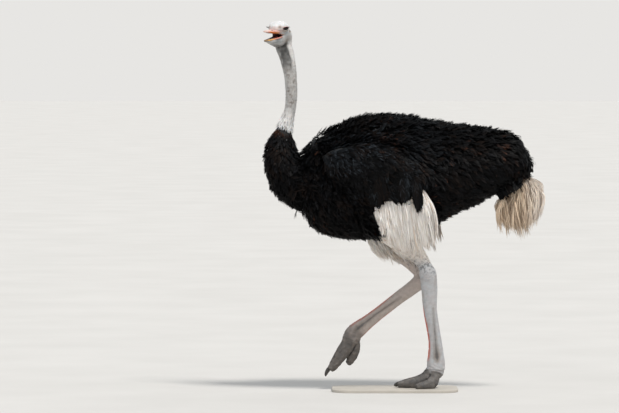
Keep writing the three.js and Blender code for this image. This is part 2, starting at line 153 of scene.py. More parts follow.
class Body:
    """A round body along a smooth middle line. Sections lie across the line, or upright across Y."""

    def __init__(self, stations, cap=0.06, upright=False, samples=90, thinner=0.0):
        stations = np.asarray(stations, float)
        shares = np.linspace(0, 1, samples)
        self.centre = smooth_curve(stations[:, :3], shares)
        near_end = np.minimum(np.minimum(shares, 1 - shares) / cap, 1)
        rounded = np.sqrt(1 - (1 - near_end) ** 2)[:, None]
        self.size = np.maximum((smooth_curve(stations[:, 3:6], shares) - thinner) * rounded, 0.4)
        self.upright = upright
        ahead = unit(np.gradient(self.centre, axis=0))
        if upright:
            ahead = np.tile([0.0, 1.0, 0.0], (samples, 1))
        self.ahead = ahead
        self.across = unit(np.array([1.0, 0, 0]) - ahead[:, :1] * ahead)
        self.above = np.cross(self.across, ahead)
        widest = self.size.max(axis=1, keepdims=True)
        self.box = (self.centre - widest).min(axis=0), (self.centre + widest).max(axis=0)

    def place(self, points):
        """Index along the body, then how far the points lie along, across and above it."""
        if self.upright:
            y = self.centre[:, 1]
            order = slice(None) if y[-1] > y[0] else slice(None, None, -1)
            at = np.interp(points[:, 1], y[order], np.arange(len(y))[order])
            i = np.clip(np.round(at).astype(int), 0, len(y) - 1)
        else:
            i = nearest(self.centre, points)
        off = points - self.centre[i]
        return i, dot(off, self.ahead[i]), dot(off, self.across[i]), dot(off, self.above[i])

    def distance(self, points):
        """Distance to the surface, negative inside. Far points get the distance to the body's box."""
        outside = np.maximum(np.maximum(self.box[0] - points, points - self.box[1]), 0)
        found = np.linalg.norm(outside, axis=1) + FAR
        close = found < 2 * FAR
        found[close] = self.exact(points[close])
        return found

    def exact(self, points):
        i, along, across, above = self.place(points)
        low, high = np.maximum(i - 1, 0), np.minimum(i + 1, len(self.size) - 1)
        step = dot(self.centre[high] - self.centre[low], self.ahead[i])
        slope = (self.size[high] - self.size[low]) / np.where(np.abs(step) < 1e-6, 1, step)[:, None]
        size = np.maximum(self.size[i] + slope * np.clip(along, -8, 8)[:, None], 0.4)
        if self.upright:
            above = above - np.clip(along, -8, 8) * self.lean(i, low, high, step)
        deep = np.where(above > 0, size[:, 1], size[:, 2])
        reach = np.hypot(across, above)
        radial = reach - reach / np.maximum(np.hypot(across / size[:, 0], above / deep), 1e-6)
        radial = np.where(reach < 1e-6, -np.minimum(size[:, 0], deep), radial)
        past = np.where(i == 0, -along, np.where(i == len(self.size) - 1, along, 0)).clip(0)
        return np.where(past > 0, np.hypot(np.maximum(radial, 0), past), radial)

    def lean(self, i, low, high, step):
        rise = dot(self.centre[high] - self.centre[low], self.above[i])
        return rise / np.where(np.abs(step) < 1e-6, 1, step)


# %% [markdown]
# ## Blending bodies like clay
# Two distances are joined with a smooth minimum, which fills the corner between the bodies with a soft fillet. The
# same trick, turned round, carves a groove with rounded lips. One formula therefore serves for eyelids, for the
# corner of the mouth and for the skin between the toes.

# %% Joining and carving


def joined(a, b, soft):
    """Joins two bodies with a fillet of about that size."""
    blend = np.maximum(soft - np.abs(a - b), 0) / soft
    return np.minimum(a, b) - blend**2 * soft / 4


def carved(body, cutter, soft):
    """Takes the cutter out of the body and rounds the lip."""
    return -joined(-body, cutter, soft)


def ball(points, at, size):
    """Distance to an ellipsoid, good near its surface."""
    off = points - np.asarray(at, float)
    scaled = np.linalg.norm(off / np.asarray(size, float), axis=1)
    return np.linalg.norm(off, axis=1) * (1 - 1 / np.maximum(scaled, 1e-4))


TETRAHEDRON = np.array([[1.0, 1, 1], [1, -1, -1], [-1, 1, -1], [-1, -1, 1]])


def slope_of(field, points, reach=0.4):
    """The direction in which a distance grows fastest, at each point, from four looks around it."""
    return unit(sum(field(points + step * reach)[:, None] * step for step in TETRAHEDRON))


# %% [markdown]
# ## From distances to faces
# A surface net lays a grid over the body, keeps the cells that the surface passes through and puts one corner of the
# mesh in each. It gives even, four-sided faces, which take fine relief well. Metaballs and a voxel remesh would do
# the same, but here the grid can be coarse under the coat and fine on the head. Far cells are skipped, for speed.

# %% The surface net
CORNERS = np.array([[x, y, z] for x in (0, 1) for y in (0, 1) for z in (0, 1)])
EDGES = [(a, b) for a in range(8) for b in range(a + 1, 8) if np.abs(CORNERS[a] - CORNERS[b]).sum() == 1]
SKIP = 4  # the first, coarse look uses every fourth grid line
CELLS_AROUND = 2.2  # coarse cells this near the surface are looked at again


def grid_points(low, shape, step, index):
    return low + np.stack(np.unravel_index(index, shape), axis=1) * step


def surface_net(body, low, high, step):
    """Corners and four-sided faces of the surface where the field is 0. The box closes what runs out."""
    low, high = np.asarray(low, float), np.asarray(high, float)

    def field(p):
        inside_box = np.maximum(low + 2.5 * step - p, p - high + 2.5 * step).max(axis=1)
        return np.maximum(body(p), inside_box)

    blocks = np.ceil((high - low) / (step * SKIP)).astype(int)
    coarse = grid_points(low, blocks + 1, step * SKIP, np.arange((blocks + 1).prod()))
    rough = field(coarse).reshape(blocks + 1)
    close = np.abs(rough) < step * SKIP * CELLS_AROUND
    wanted = np.zeros(blocks, bool)
    for x, y, z in CORNERS:
        wanted |= close[x : x + blocks[0], y : y + blocks[1], z : z + blocks[2]]
    shape = blocks * SKIP + 1
    values = np.pad(np.kron(rough[:-1, :-1, :-1], np.ones((SKIP,) * 3)), ((0, 1),) * 3, mode="edge")
    fine = np.zeros(shape, bool)
    inner = np.kron(wanted, np.ones((SKIP,) * 3, bool))
    for x, y, z in CORNERS:
        fine[x : x + inner.shape[0], y : y + inner.shape[1], z : z + inner.shape[2]] |= inner
    index = np.flatnonzero(fine)
    values.ravel()[index] = field(grid_points(low, shape, step, index))
    return net_of(values, low, step)


def without_pinches(values):
    """Fills grid squares that are inside at just two opposite corners, where four faces would share an edge."""
    for _ in range(12):
        inside = values < 0
        found = 0
        for axis in range(3):
            a, b = np.moveaxis(inside, axis, 0), np.moveaxis(values, axis, 0)
            s00, s01, s10, s11 = a[:, :-1, :-1], a[:, :-1, 1:], a[:, 1:, :-1], a[:, 1:, 1:]
            k, u, v = np.nonzero((s00 == s11) & (s01 == s10) & (s00 != s01))
            found += len(k)
            shift = a[k, u, v].astype(int)  # the corner beside an inside one is outside
            b[k, u, v + shift] = -1e-3
        if not found:
            break
    return values


def net_of(values, low, step):
    inside = without_pinches(values) < 0
    count = np.zeros(np.array(values.shape) - 1, np.int8)
    for x, y, z in CORNERS:
        count += inside[x : x + count.shape[0], y : y + count.shape[1], z : z + count.shape[2]]
    cells = np.argwhere((count > 0) & (count < 8))
    at = np.zeros((len(cells), 3))
    crossings = np.zeros(len(cells))
    held = [values[tuple((cells + corner).T)] for corner in CORNERS]
    for a, b in EDGES:
        crossed = (held[a] < 0) != (held[b] < 0)
        share = held[a] / np.where(crossed, held[a] - held[b], 1)
        at += crossed[:, None] * (CORNERS[a] + share[:, None] * (CORNERS[b] - CORNERS[a]))
        crossings += crossed
    points = low + (cells + at / crossings[:, None]) * step
    number = np.full(count.shape, -1)
    number[tuple(cells.T)] = np.arange(len(cells))
    faces = []
    for axis in range(3):
        u, v = [other for other in range(3) if other != axis]
        a = np.moveaxis(inside, axis, 0)
        flips = np.argwhere(np.moveaxis(a[1:] != a[:-1], 0, axis))
        flips = flips[(flips[:, u] > 0) & (flips[:, v] > 0)]
        flips = flips[(flips[:, u] < count.shape[u]) & (flips[:, v] < count.shape[v])]
        ring = []
        for du, dv in ((-1, -1), (0, -1), (0, 0), (-1, 0)):
            cell = flips.copy()
            cell[:, u] += du
            cell[:, v] += dv
            ring.append(number[tuple(cell.T)])
        ring = np.stack(ring, axis=1)
        outwards = inside[tuple(flips.T)] ^ (axis == 1)
        faces.append(np.where(outwards[:, None], ring, ring[:, ::-1]))
    faces = np.vstack(faces)
    return points, faces[(faces >= 0).all(axis=1)]


def settled(field, points):
    """Moves the corners exactly onto the surface, and says which way is out there."""
    out, gap = slope_of(field, points), field(points)
    gap = np.where(np.abs(gap) > 2.5, 0, gap)
    return points - out * gap[:, None], out


# %% [markdown]
# ## Soft random patterns
# Skin is never even. Value noise gives each grid point a random height and blends smoothly between them. It is used
# in the mesh for folds and in the markings for mottling. Its numbers come from a fixed seed, so every run agrees.

# %% Noise
NOISE = np.random.default_rng(3).random(4096)
CELL_NUMBERS = np.array([73, 179, 283])  # these numbers only scatter neighbouring cells over the table
SCATTER = 2654435761


def noise(points, size, seed=0):
    """Smooth values from -1 to 1 that change over about that size."""
    at = np.asarray(points, float) / size + 1000.37 + seed * 17.13
    cell = np.floor(at).astype(int)
    w = at - cell
    w = w * w * (3 - 2 * w)
    total = np.zeros(len(at))
    for corner in CORNERS:
        key = (cell + corner) @ CELL_NUMBERS + seed * 571
        weight = np.where(corner, w, 1 - w).prod(axis=1)
        total += weight * NOISE[(key * SCATTER >> 7) % len(NOISE)]
    return 2 * total - 1


def bump(value, middle, width):
    """1 at the middle, fading smoothly to 0 within about that width."""
    return np.exp(-(((value - middle) / width) ** 2))


def ramp(value, low, high):
    """0 below low, 1 above high and a smooth rise between. Works for a falling ramp too."""
    share = np.clip((value - low) / (high - low), 0, 1)
    return share * share * (3 - 2 * share)


def between(value, low, high):
    return (value > low) & (value < high)


def mixed(a, b, share):
    """Goes from a to b by a share for each point."""
    return a + (np.asarray(b) - a) * np.asarray(share)[..., None]


def painted(colour, count):
    """One colour on so many points, ready to be mixed with others."""
    return np.tile(colour, (count, 1))


# %% [markdown]
# ## Turning numbers into a Blender object
# One function makes every piece: it fills a mesh from arrays, stores a marking colour on each corner, sets smooth
# shading, and hides the solids that the piece stands for. Markings are worked out by the same formulas for the skin
# and for the coat over it, so both always agree.

# %% Making a piece


def add_mesh(name, points, faces, material, marking=None, smooth=True):
    """A Blender mesh object from points in the bird's frame and a list of arrays of faces."""
    mesh = bpy.data.meshes.new(name)
    groups = [np.asarray(group) for group in (faces if isinstance(faces, list) else [faces]) if len(group)]
    sizes = np.concatenate([np.full(len(group), group.shape[1]) for group in groups])
    corners = np.concatenate([group.ravel() for group in groups])
    mesh.vertices.add(len(points))
    mesh.vertices.foreach_set("co", to_model(points).astype(np.float32).ravel())
    mesh.loops.add(len(corners))
    mesh.loops.foreach_set("vertex_index", corners.astype(np.int32))
    mesh.polygons.add(len(sizes))
    mesh.polygons.foreach_set("loop_start", (np.cumsum(sizes) - sizes).astype(np.int32))
    mesh.polygons.foreach_set("loop_total", sizes.astype(np.int32))
    mesh.update(calc_edges=True)
    mesh.validate()
    mesh.polygons.foreach_set("use_smooth", np.full(len(mesh.polygons), smooth))
    if marking is not None:
        colour = np.ones((len(points), 4), np.float32)
        colour[:, : marking.shape[1]] = np.clip(marking, 0, 1)
        mesh.attributes.new("Marking", "FLOAT_COLOR", "POINT").data.foreach_set("color", colour.ravel())
    mesh.materials.append(material)
    made = bpy.data.objects.new(name, mesh)
    bpy.context.collection.objects.link(made)
    print(f"{name}: {len(points)} points, {(sizes - 2).sum()} triangles")
    return made


def add_piece(name, points, faces, material, slot, nodes=(), marking=None, smooth=True):
    """Adds a mesh that belongs to the bird, and hides the solids it stands for."""
    made = add_mesh(name, points, faces, material, marking, smooth)
    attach(made, "root")
    if nodes:
        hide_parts(*nodes)
    return made


# %% [markdown]
# ## Materials
# A small helper adds nodes and links. Every material starts from a colour, breaks it up with noise at the scale of
# the real surface, and gets its gloss and its fine relief from the same noise, so that light and colour agree.

# %% Node helpers


def new_material(name):
    material = bpy.data.materials.new(name)
    material.use_nodes = True
    tree = material.node_tree
    tree.nodes.clear()
    shader = tree.nodes.new("ShaderNodeBsdfPrincipled")
    output = tree.nodes.new("ShaderNodeOutputMaterial")
    tree.links.new(shader.outputs["BSDF"], output.inputs["Surface"])
    return material, tree, shader


def add_node(tree, kind, links=None, **settings):
    """Adds a node. Settings are its properties or its sockets; links name what feeds its sockets."""
    node = tree.nodes.new("ShaderNode" + kind)
    for key, value in settings.items():
        if hasattr(node, key):
            setattr(node, key, value)
        else:
            node.inputs[key.replace("_", " ")].default_value = value
    for key, source in (links or {}).items():
        tree.links.new(source, node.inputs[key])
    return node


def noise_of(tree, scale, detail=4.0, rough=0.55, stretch=None):
    """Noise on the object's own coordinates, stretched along an axis if wanted."""
    place = add_node(tree, "TexCoord").outputs["Object"]
    if stretch:
        place = add_node(tree, "Mapping", {"Vector": place}, Scale=stretch).outputs["Vector"]
    return add_node(tree, "TexNoise", {"Vector": place}, Scale=scale, Detail=detail, Roughness=rough)


def mapped(tree, value, low, high, to_low=0.0, to_high=1.0):
    settings = {"From_Min": low, "From_Max": high, "To_Min": to_low, "To_Max": to_high}
    return add_node(tree, "MapRange", {"Value": value}, **settings).outputs["Result"]


def mix_colour(tree, share, a, b, blend="MIX"):
    """Mixes two colours, each a socket or a plain colour."""
    node = tree.nodes.new("ShaderNodeMix")
    node.data_type = "RGBA"
    node.blend_type = blend
    for index, value in ((0, share), (6, a), (7, b)):
        if isinstance(value, bpy.types.NodeSocket):
            tree.links.new(value, node.inputs[index])
        else:
            node.inputs[index].default_value = (*value, 1) if isinstance(value, tuple) else value
    return node.outputs[2]


def relief(tree, shader, height, distance, strength=1.0, under=None):
    links = {"Height": height}
    if under:
        links["Normal"] = under
    bumped = add_node(tree, "Bump", links, Strength=strength, Distance=distance)
    tree.links.new(bumped.outputs["Normal"], shader.inputs["Normal"])
    return bumped.outputs["Normal"]


def marking_of(tree):
    return add_node(tree, "Attribute", attribute_name="Marking").outputs["Color"]


def grained(name, grain, stretch, shades, colours, rough, raised=None, **sockets):
    """A material whose colour, gloss and relief come from one noise.

    Grain is the noise's scale and detail. Shades are the values between which the colour changes, and how far it
    does. One colour tints the marking, and two are mixed without it. Rough is one number, or a lowest and a highest.
    Raised is the relief's distance and strength.
    """
    material, tree, shader = new_material(name)
    fibre = noise_of(tree, *grain, stretch=stretch).outputs["Fac"]
    share = mapped(tree, fibre, shades[0], shades[1], 0, shades[2])
    if len(colours) == 1:
        colour = mix_colour(tree, share, marking_of(tree), colours[0], "MULTIPLY")
    else:
        colour = mix_colour(tree, share, *colours)
    tree.links.new(colour, shader.inputs["Base Color"])
    if isinstance(rough, tuple):
        tree.links.new(mapped(tree, fibre, 0.3, 0.7, *rough), shader.inputs["Roughness"])
    else:
        shader.inputs["Roughness"].default_value = rough
    if raised:
        relief(tree, shader, fibre, *raised)
    for key, value in sockets.items():
        shader.inputs[key.replace("_", " ")].default_value = value
    return material


# %% [markdown]
# ## Studio
# The model stands on a pale floor under soft light. The camera is far away with a long lens, as for an animal that
# can't be approached, and it is a little above the bird's back, so it looks slightly down. A wide sun gives soft
# shadows without a wall of lamps in other views, and a pale sky fills them.

# %% Camera, light and floor
PICTURE = (619, 413)  # the picture's width and height
MM_PER_PIXEL = 5.25  # at the bird
AIM = np.array([0, -488.25, 953.0])
CAMERA_AWAY = 25000.0
LOOKS_DOWN = math.radians(2.0)
SENSOR = 36.0

camera = bpy.data.objects.new("camera", bpy.data.cameras.new("camera"))
bpy.context.collection.objects.link(camera)
towards_camera = np.array([math.cos(LOOKS_DOWN), 0, math.sin(LOOKS_DOWN)])
camera.location = to_model(AIM + CAMERA_AWAY * towards_camera)
camera.rotation_euler = Vector(-towards_camera).to_track_quat("-Z", "Y").to_euler()
camera.data.sensor_width = SENSOR
camera.data.lens = SENSOR * (CAMERA_AWAY / MM_PER_PIXEL) / PICTURE[0]
camera.data.clip_end = 500
bpy.context.scene.camera = camera
print("lens", round(camera.data.lens, 1), "mm")


def add_sun(name, towards, strength, width, colour=(1, 1, 1)):
    """A distant light. Its width in degrees sets how soft the shadows are."""
    lamp = bpy.data.lights.new(name, "SUN")
    lamp.energy = strength
    lamp.angle = math.radians(width)
    lamp.color = colour
    made = bpy.data.objects.new(name, lamp)
    made.rotation_euler = Vector(towards).to_track_quat("Z", "Y").to_euler()
    bpy.context.collection.objects.link(made)


add_sun("key_light", (0.45, 0.32, 1.0), 2.5, 14, (1, 0.97, 0.93))
add_sun("fill_light", (1.0, -0.55, 0.35), 0.6, 60)
add_sun("back_light", (-0.8, 0.5, 0.6), 0.6, 60)

world = bpy.data.worlds.new("sky")
world.use_nodes = True
tree = world.node_tree
sky = tree.nodes["Background"]
sky.inputs["Color"].default_value = (0.9, 0.95, 1.0, 1)
sky.inputs["Strength"].default_value = 0.5
backdrop = add_node(tree, "Background", Color=(0.80, 0.79, 0.77, 1))  # what the camera sees behind the floor
seen = add_node(tree, "LightPath").outputs["Is Camera Ray"]
links = {"Fac": seen, 1: sky.outputs["Background"], 2: backdrop.outputs["Background"]}
either = add_node(tree, "MixShader", links)
tree.links.new(either.outputs["Shader"], tree.nodes["World Output"].inputs["Surface"])
bpy.context.scene.world = world
bpy.context.scene.view_settings.view_transform = "Standard"

FLOOR_COLOURS = ((0.60, 0.585, 0.56), (0.64, 0.625, 0.60))
floor_paint = grained("floor_paint", (1.3, 3), None, (0.3, 0.7, 1), FLOOR_COLOURS, 0.9)
FLOOR_REACH = 120000.0
FLOOR_Z = -14.5  # the base's underside in the bird's frame
floor_corners = [[x * FLOOR_REACH, y * FLOOR_REACH, FLOOR_Z] for x, y in ((-1, -1), (1, -1), (1, 1), (-1, 1))]
add_mesh("floor", np.array(floor_corners), np.array([[0, 1, 2, 3]]), floor_paint, smooth=False)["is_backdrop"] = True

# %% [markdown]
# ## The shape of the head
# An ostrich has a flat, wide head with a bill as broad as a duck's, and eyes that are bigger than its brain. The
# head has a frame of its own, because it is turned to the left: x to its left, y to its back and z up, from midway
# between the eyes. Its skull, brows, cheeks and jaw are blended bodies; the eyes sit deep in sockets carved from them.

# %% The head's own frame and stations
HEAD_AT = np.array([46.0, -648.0, 1888.0])
HEAD_TURN = math.radians(55)
HEAD_AXES = np.array(
    [[math.cos(HEAD_TURN), math.sin(HEAD_TURN), 0], [-math.sin(HEAD_TURN), math.cos(HEAD_TURN), 0], [0, 0, 1]]
)  # rows: left, back, up


def to_head(points):
    return (points - HEAD_AT) @ HEAD_AXES.T


def from_head(points):
    return np.asarray(points, float) @ HEAD_AXES + HEAD_AT


SKULL = [
    [0, -66, -12, 20, 10, 8],
    [0, -44, -8, 34, 25, 13],
    [0, -22, -3, 44, 36, 18],
    [0, 2, -2, 46, 39, 32],
    [0, 24, -9, 45, 44, 46],
    [0, 44, -20, 41, 37, 50],
    [0, 62, -34, 33, 30, 42],
    [0, 78, -50, 20, 20, 26],
]
UPPER_BILL = [
    [0, -131, -18, 4, 2, 2.5],
    [0, -126, -17.5, 13, 3, 4],
    [0, -108, -18, 21, 5.5, 6.5],
    [0, -84, -19, 26, 8.5, 9.5],
    [0, -58, -18, 30, 12, 13],
    [0, -34, -15, 34, 17, 17],
    [0, -10, -13, 36, 21, 19],
    [0, 8, -13, 36, 19, 18],
]
LOWER_BILL = [
    [0, -124, -64, 4, 3, 4],
    [0, -117, -64, 13, 4, 6],
    [0, -97, -62, 20, 5.5, 8],
    [0, -70, -58, 25, 7, 11],
    [0, -42, -53, 30, 8.5, 14],
    [0, -16, -48, 34, 10, 17],
    [0, 8, -43, 37, 11, 22],
]
JAW = [
    [0, -112, -67, 12, 4, 5],
    [0, -92, -67, 19, 7, 11],
    [0, -70, -65, 24, 9, 19],
    [0, -42, -61, 26, 9, 32],
    [0, -16, -56, 32, 13, 42],
    [0, 8, -48, 35, 15, 46],
    [0, 34, -42, 36, 18, 43],
    [0, 54, -42, 25, 16, 32],
]
GAPE = [
    [0, -122, -58, 9, 34, 3],
    [0, -100, -54, 14, 29, 6],
    [0, -72, -49, 20, 21, 9],
    [0, -50, -45, 25, 15, 10],
    [0, -30, -40, 31, 9, 10],
    [0, -14, -36, 34, 5, 6],
    [0, -4, -33.5, 33, 2, 2],
]
THROAT_HOLE = [[0, -30, -42, 16, 10, 10], [0, 0, -42, 14, 10, 10], [0, 20, -46, 9, 8, 8]]
EYE_OUT = 31.0
EYE_RADIUS = 22.5
EYE_LOOKS = math.radians(24)  # the opening is turned this far forward of straight out
EYE_DIPS = math.radians(-3)
OPENING = (math.radians(37), math.radians(19))  # half-width and half-height of the opening

skull, upper_bill, lower_bill, jaw, gape = (
    Body(rows, cap=0.08, upright=True, samples=140) for rows in (SKULL, UPPER_BILL, LOWER_BILL, JAW, GAPE)
)
throat_hole = Body(THROAT_HOLE, cap=0.3, upright=True, samples=50)

# %% [markdown]
# ## Eyelids
# A bird's lids are soft rims that hug the ball. They are a thin shell round the eyeball, and the almond opening is
# measured on the ball itself, in angles, so its edge follows the eye as a real lid does. A groove follows the upper
# rim, where the lid folds when it opens.

# %% Distances on the eyeball


def eye_angles(q, side):
    """Angles across and up from the middle of an eye's opening, and the distance from the ball's centre."""
    off = q - np.array([side * EYE_OUT, 0, 0])
    reach = np.linalg.norm(off, axis=1)
    across = np.arctan2(-off[:, 1], side * off[:, 0]) - EYE_LOOKS
    across = (across + math.pi) % (2 * math.pi) - math.pi
    return across, np.arcsin(np.clip(off[:, 2] / np.maximum(reach, 1e-6), -1, 1)) - EYE_DIPS, reach


def opening_edge(q, side):
    """Distance in mm from the edge of the almond opening: negative inside it. The front corner lies lower."""
    across, up, _ = eye_angles(q, side)
    up = up + 0.10 * across
    wide, high = OPENING
    high = np.where(up > 0, high * 0.86, high)
    share = np.hypot(across / wide, up / high * (1 + 0.25 * (across / wide) ** 2))
    return (share - 1) * high * EYE_RADIUS


# %% [markdown]
# ## Head and neck as one field
# The upper jaw's skin runs on as far as the horny bill, and the skin of the throat hangs between the two sides of the
# lower jaw. The mouth is held open, so its inside is modelled too. The bare neck is a long body with the windpipe
# as a ridge at the front and slack folds of skin across it.

# %% The field of head and neck
NECK_BARE = [
    [16, -634, 1874, 27, 27, 27],
    [4, -622, 1838, 33, 38, 36],
    [0, -621, 1797, 34, 40, 46],
    [0, -607, 1748, 33, 38, 41],
    [0, -597, 1702, 31, 35, 38],
    [0, -588, 1637, 30, 32, 32],
    [0, -583, 1549, 29, 30, 30],
    [0, -588, 1470, 29, 28, 29],
    [0, -602, 1412, 31, 31, 34],
    [0, -614, 1374, 36, 36, 39],
    [0, -621, 1340, 40, 40, 44],
    [0, -626, 1300, 46, 48, 50],
]
BILL_JOINS_AT = -31.0  # where horn gives way to skin on the upper jaw
neck_bare = Body(NECK_BARE, cap=0.03, samples=110)


def mouth_space(q):
    """The open mouth between the jaws, which narrows to the corner, and the throat behind it."""
    return joined(gape.distance(q), throat_hole.distance(q), 4)


def head_field(p):
    q = to_head(p)
    d = skull.distance(q)
    for side in (1, -1):
        d = joined(d, ball(q, (side * 30, -5, 6), (20, 33, 27)), 9)
        d = joined(d, ball(q, (side * 27, 40, -30), (15, 24, 24)), 16)
        d = joined(d, ball(q, (side * 24, 8, -36), (13, 30, 12)), 12)
    upper = np.maximum(upper_bill.distance(q) - 0.6, BILL_JOINS_AT - 3 - q[:, 1])
    d = joined(d, upper, 7)
    lower_rim = np.maximum(lower_bill.distance(q) - 0.6, -12 - q[:, 1])
    throat = np.maximum(jaw.distance(q), q[:, 2] + 51 - 0.17 * (q[:, 1] + 70))
    d = joined(d, joined(lower_rim, throat, 6), 9)
    neck = neck_bare.distance(p)
    d = joined(d, neck, 20)
    d = carved(d, mouth_space(q), 3)
    for side in (1, -1):
        edge = opening_edge(q, side)
        reach = np.linalg.norm(q - np.array([side * EYE_OUT, 0, 0]), axis=1)
        d = np.maximum(d, -(reach - EYE_RADIUS - 0.4))
        lid = np.abs(reach - EYE_RADIUS - 1.6) - 1.3 + np.maximum(edge - 17, 0) * 0.5
        d = joined(d, lid, 4)
        hole = np.maximum(edge, -(reach - EYE_RADIUS + 3))
        d = carved(d, hole, 1.6)
        above = ramp(eye_angles(q, side)[1], -0.05, 0.15)
        near_eye = ramp(reach, EYE_RADIUS + 12, EYE_RADIUS + 5)
        d = d + near_eye * (0.9 * above * bump(edge, 6.5, 1.6) - 0.5 * bump(edge, 3.2, 1.8))
        ear = ball(q, (side * 46, 36, -16), (5, 7, 4))
        d = carved(d, ear, 3)
    return d


def neck_folds(p):
    """Height of slack folds across the neck and of wrinkles on the cheek and throat, in mm."""
    q = to_head(p)
    low = ramp(p[:, 2], 1850, 1790)
    wave = noise(p * [1, 1, 3.2], 34, 1) * 0.9 + noise(p * [1, 1, 4.5], 15, 2) * 0.55
    fine = noise(p, 5, 3) * 0.22 + noise(p, 2.6, 4) * 0.12
    throat = ramp(q[:, 2], -40, -58) * (1 - low)
    return wave * (0.25 + 0.75 * low + 0.6 * throat) * 0.8 + fine


HEAD_BOX = ((-40, -740, 1290), (190, -520, 1946))
HEAD_STEP = 1.7  # mm between the grid's lines
head_points, head_faces = surface_net(head_field, *HEAD_BOX, HEAD_STEP)
print("head and neck:", len(head_points), "points")
head_points, head_out = settled(head_field, head_points)
head_points = head_points + head_out * neck_folds(head_points)[:, None]

# %% [markdown]
# ## Legs and feet
# The ostrich is the only bird with two toes. Each leg is a drumstick, a straight shin of bone and tendon, and a foot
# of two padded toes. All of it is one field again, so the skin flows from the heel joint down to the toes. Grooves
# part the tendons from the bone, and folds gather where the toes bend.

# %% Stations of the legs
SHANKS = {
    "left": [
        [140, -212, 1040, 60, 66, 66],
        [142, -165, 985, 78, 94, 96],
        [135, -104, 908, 84, 106, 104],
        [118, -42, 832, 72, 92, 90],
        [98, 20, 762, 52, 68, 64],
        [83, 68, 708, 36, 46, 44],
        [72, 112, 652, 27, 34, 35],
        [65, 131, 604, 35, 45, 45],
        [61, 138, 566, 31, 44, 42],
    ],
    "right": [
        [-140, -262, 950, 60, 66, 46],
        [-142, -214, 906, 78, 90, 64],
        [-136, -150, 842, 82, 100, 72],
        [-124, -86, 778, 70, 86, 64],
        [-110, -20, 714, 52, 60, 48],
        [-100, 42, 656, 36, 41, 37],
        [-95, 92, 608, 29, 35, 35],
        [-92, 118, 578, 34, 45, 45],
        [-90, 110, 548, 30, 41, 41],
    ],
}
TARSI = {
    "left": [
        [63, 136, 588, 34, 44, 44],
        [58, 141, 520, 27, 41, 43],
        [48, 146, 410, 21, 34, 35],
        [38, 160, 320, 21, 33, 33],
        [30, 171, 250, 22, 34, 33],
        [23, 176, 175, 27, 41, 40],
        [19, 176, 128, 34, 48, 47],
        [18, 174, 92, 36, 48, 44],
    ],
    "right": [
        [-90, 110, 566, 32, 42, 42],
        [-89, 66, 530, 26, 37, 38],
        [-85, -32, 456, 21, 32, 33],
        [-82, -110, 396, 21, 32, 32],
        [-79, -178, 343, 23, 35, 35],
        [-77, -228, 304, 29, 42, 42],
        [-76, -260, 274, 35, 46, 45],
        [-76, -268, 246, 35, 43, 41],
    ],
}
INNER_TOES = {
    "left": [
        [-12, -26, 17, 20, 13, 21],
        [-9, 0, 21, 28, 17, 25],
        [-4, 40, 26, 33, 24, 30],
        [2, 88, 33, 34, 31, 37],
        [9, 128, 52, 32, 34, 44],
        [14, 160, 82, 32, 40, 40],
    ],
    "right": [
        [-68, -386, 92, 18, 13, 22],
        [-69, -367, 112, 25, 19, 30],
        [-71, -342, 146, 30, 25, 34],
        [-73, -312, 188, 31, 32, 38],
        [-75, -286, 226, 31, 34, 38],
        [-76, -272, 258, 30, 36, 36],
    ],
}
OUTER_TOES = {
    "left": [
        [98, 66, 13, 12, 9, 17],
        [92, 84, 17, 19, 14, 21],
        [78, 116, 21, 23, 18, 25],
        [58, 150, 29, 24, 24, 33],
        [42, 168, 58, 22, 24, 28],
        [32, 174, 86, 20, 24, 24],
    ],
    "right": [
        [-108, -290, 118, 12, 13, 14],
        [-106, -277, 132, 18, 20, 21],
        [-100, -262, 160, 21, 27, 26],
        [-94, -248, 194, 22, 29, 26],
        [-88, -246, 230, 20, 25, 25],
        [-84, -250, 262, 18, 20, 20],
    ],
}
# Grooves of skin between bone and tendon: [y, z, radius], on both sides of each shin.
TENDON_GROOVES = {
    "left": [[160, 420, 2], [166, 340, 3], [171, 270, 4], [176, 205, 6], [180, 165, 9], [182, 146, 4]],
    "right": [[-6, 474, 2], [-60, 438, 3], [-118, 398, 4], [-180, 352, 5], [-226, 316, 7], [-246, 298, 4]],
}

FOOT_JOINTS = {"left": ((18, 172, 88), (35, 46, 42)), "right": ((-77, -268, 254), (34, 44, 42))}

legs = {
    side: {
        "shank": Body(SHANKS[side], samples=70),
        "tarsus": Body(TARSI[side], samples=80, cap=0.04),
        "inner": Body(INNER_TOES[side], samples=50),
        "outer": Body(OUTER_TOES[side], samples=50),
    }
    for side in ("left", "right")
}


def leg_base(p, side):
    leg = legs[side]
    d = joined(leg["shank"].distance(p), leg["tarsus"].distance(p), 14)
    d = joined(d, ball(p, *FOOT_JOINTS[side]), 10)
    toes = joined(leg["inner"].distance(p), leg["outer"].distance(p), 6)
    return joined(d, toes, 12)


# %% [markdown]
# ## Grooves and folds of the legs
# Where a tendon runs beside the bone, the skin sinks between them. Each groove is a thin round body laid along the
# leg's surface and carved out with soft lips. Its line is found by walking inwards from the side until the leg is met.

# %% Carved grooves


def side_of_leg(side, y, z, out):
    """The x at which a line from the side meets the leg."""
    middle = legs[side]["tarsus"]
    start = middle.centre[nearest(middle.centre, np.array([[middle.centre[0, 0], y, z]]))][0, 0]
    x = start + out * np.arange(75, -1, -0.5)
    inside = np.flatnonzero(leg_base(np.stack([x, np.full_like(x, y), np.full_like(x, z)], axis=1), side) < 0)
    return x[inside[0]] if len(inside) else start


def groove_bodies(side):
    bodies = []
    for out in (1, -1):
        rows = []
        for y, z, r in TENDON_GROOVES[side]:
            rows.append([side_of_leg(side, y, z, out) + out * 2.0, y, z, r * 0.55, r, r])
        bodies.append(Body(rows, samples=50, cap=0.15))
    return bodies


grooves = {side: groove_bodies(side) for side in legs}


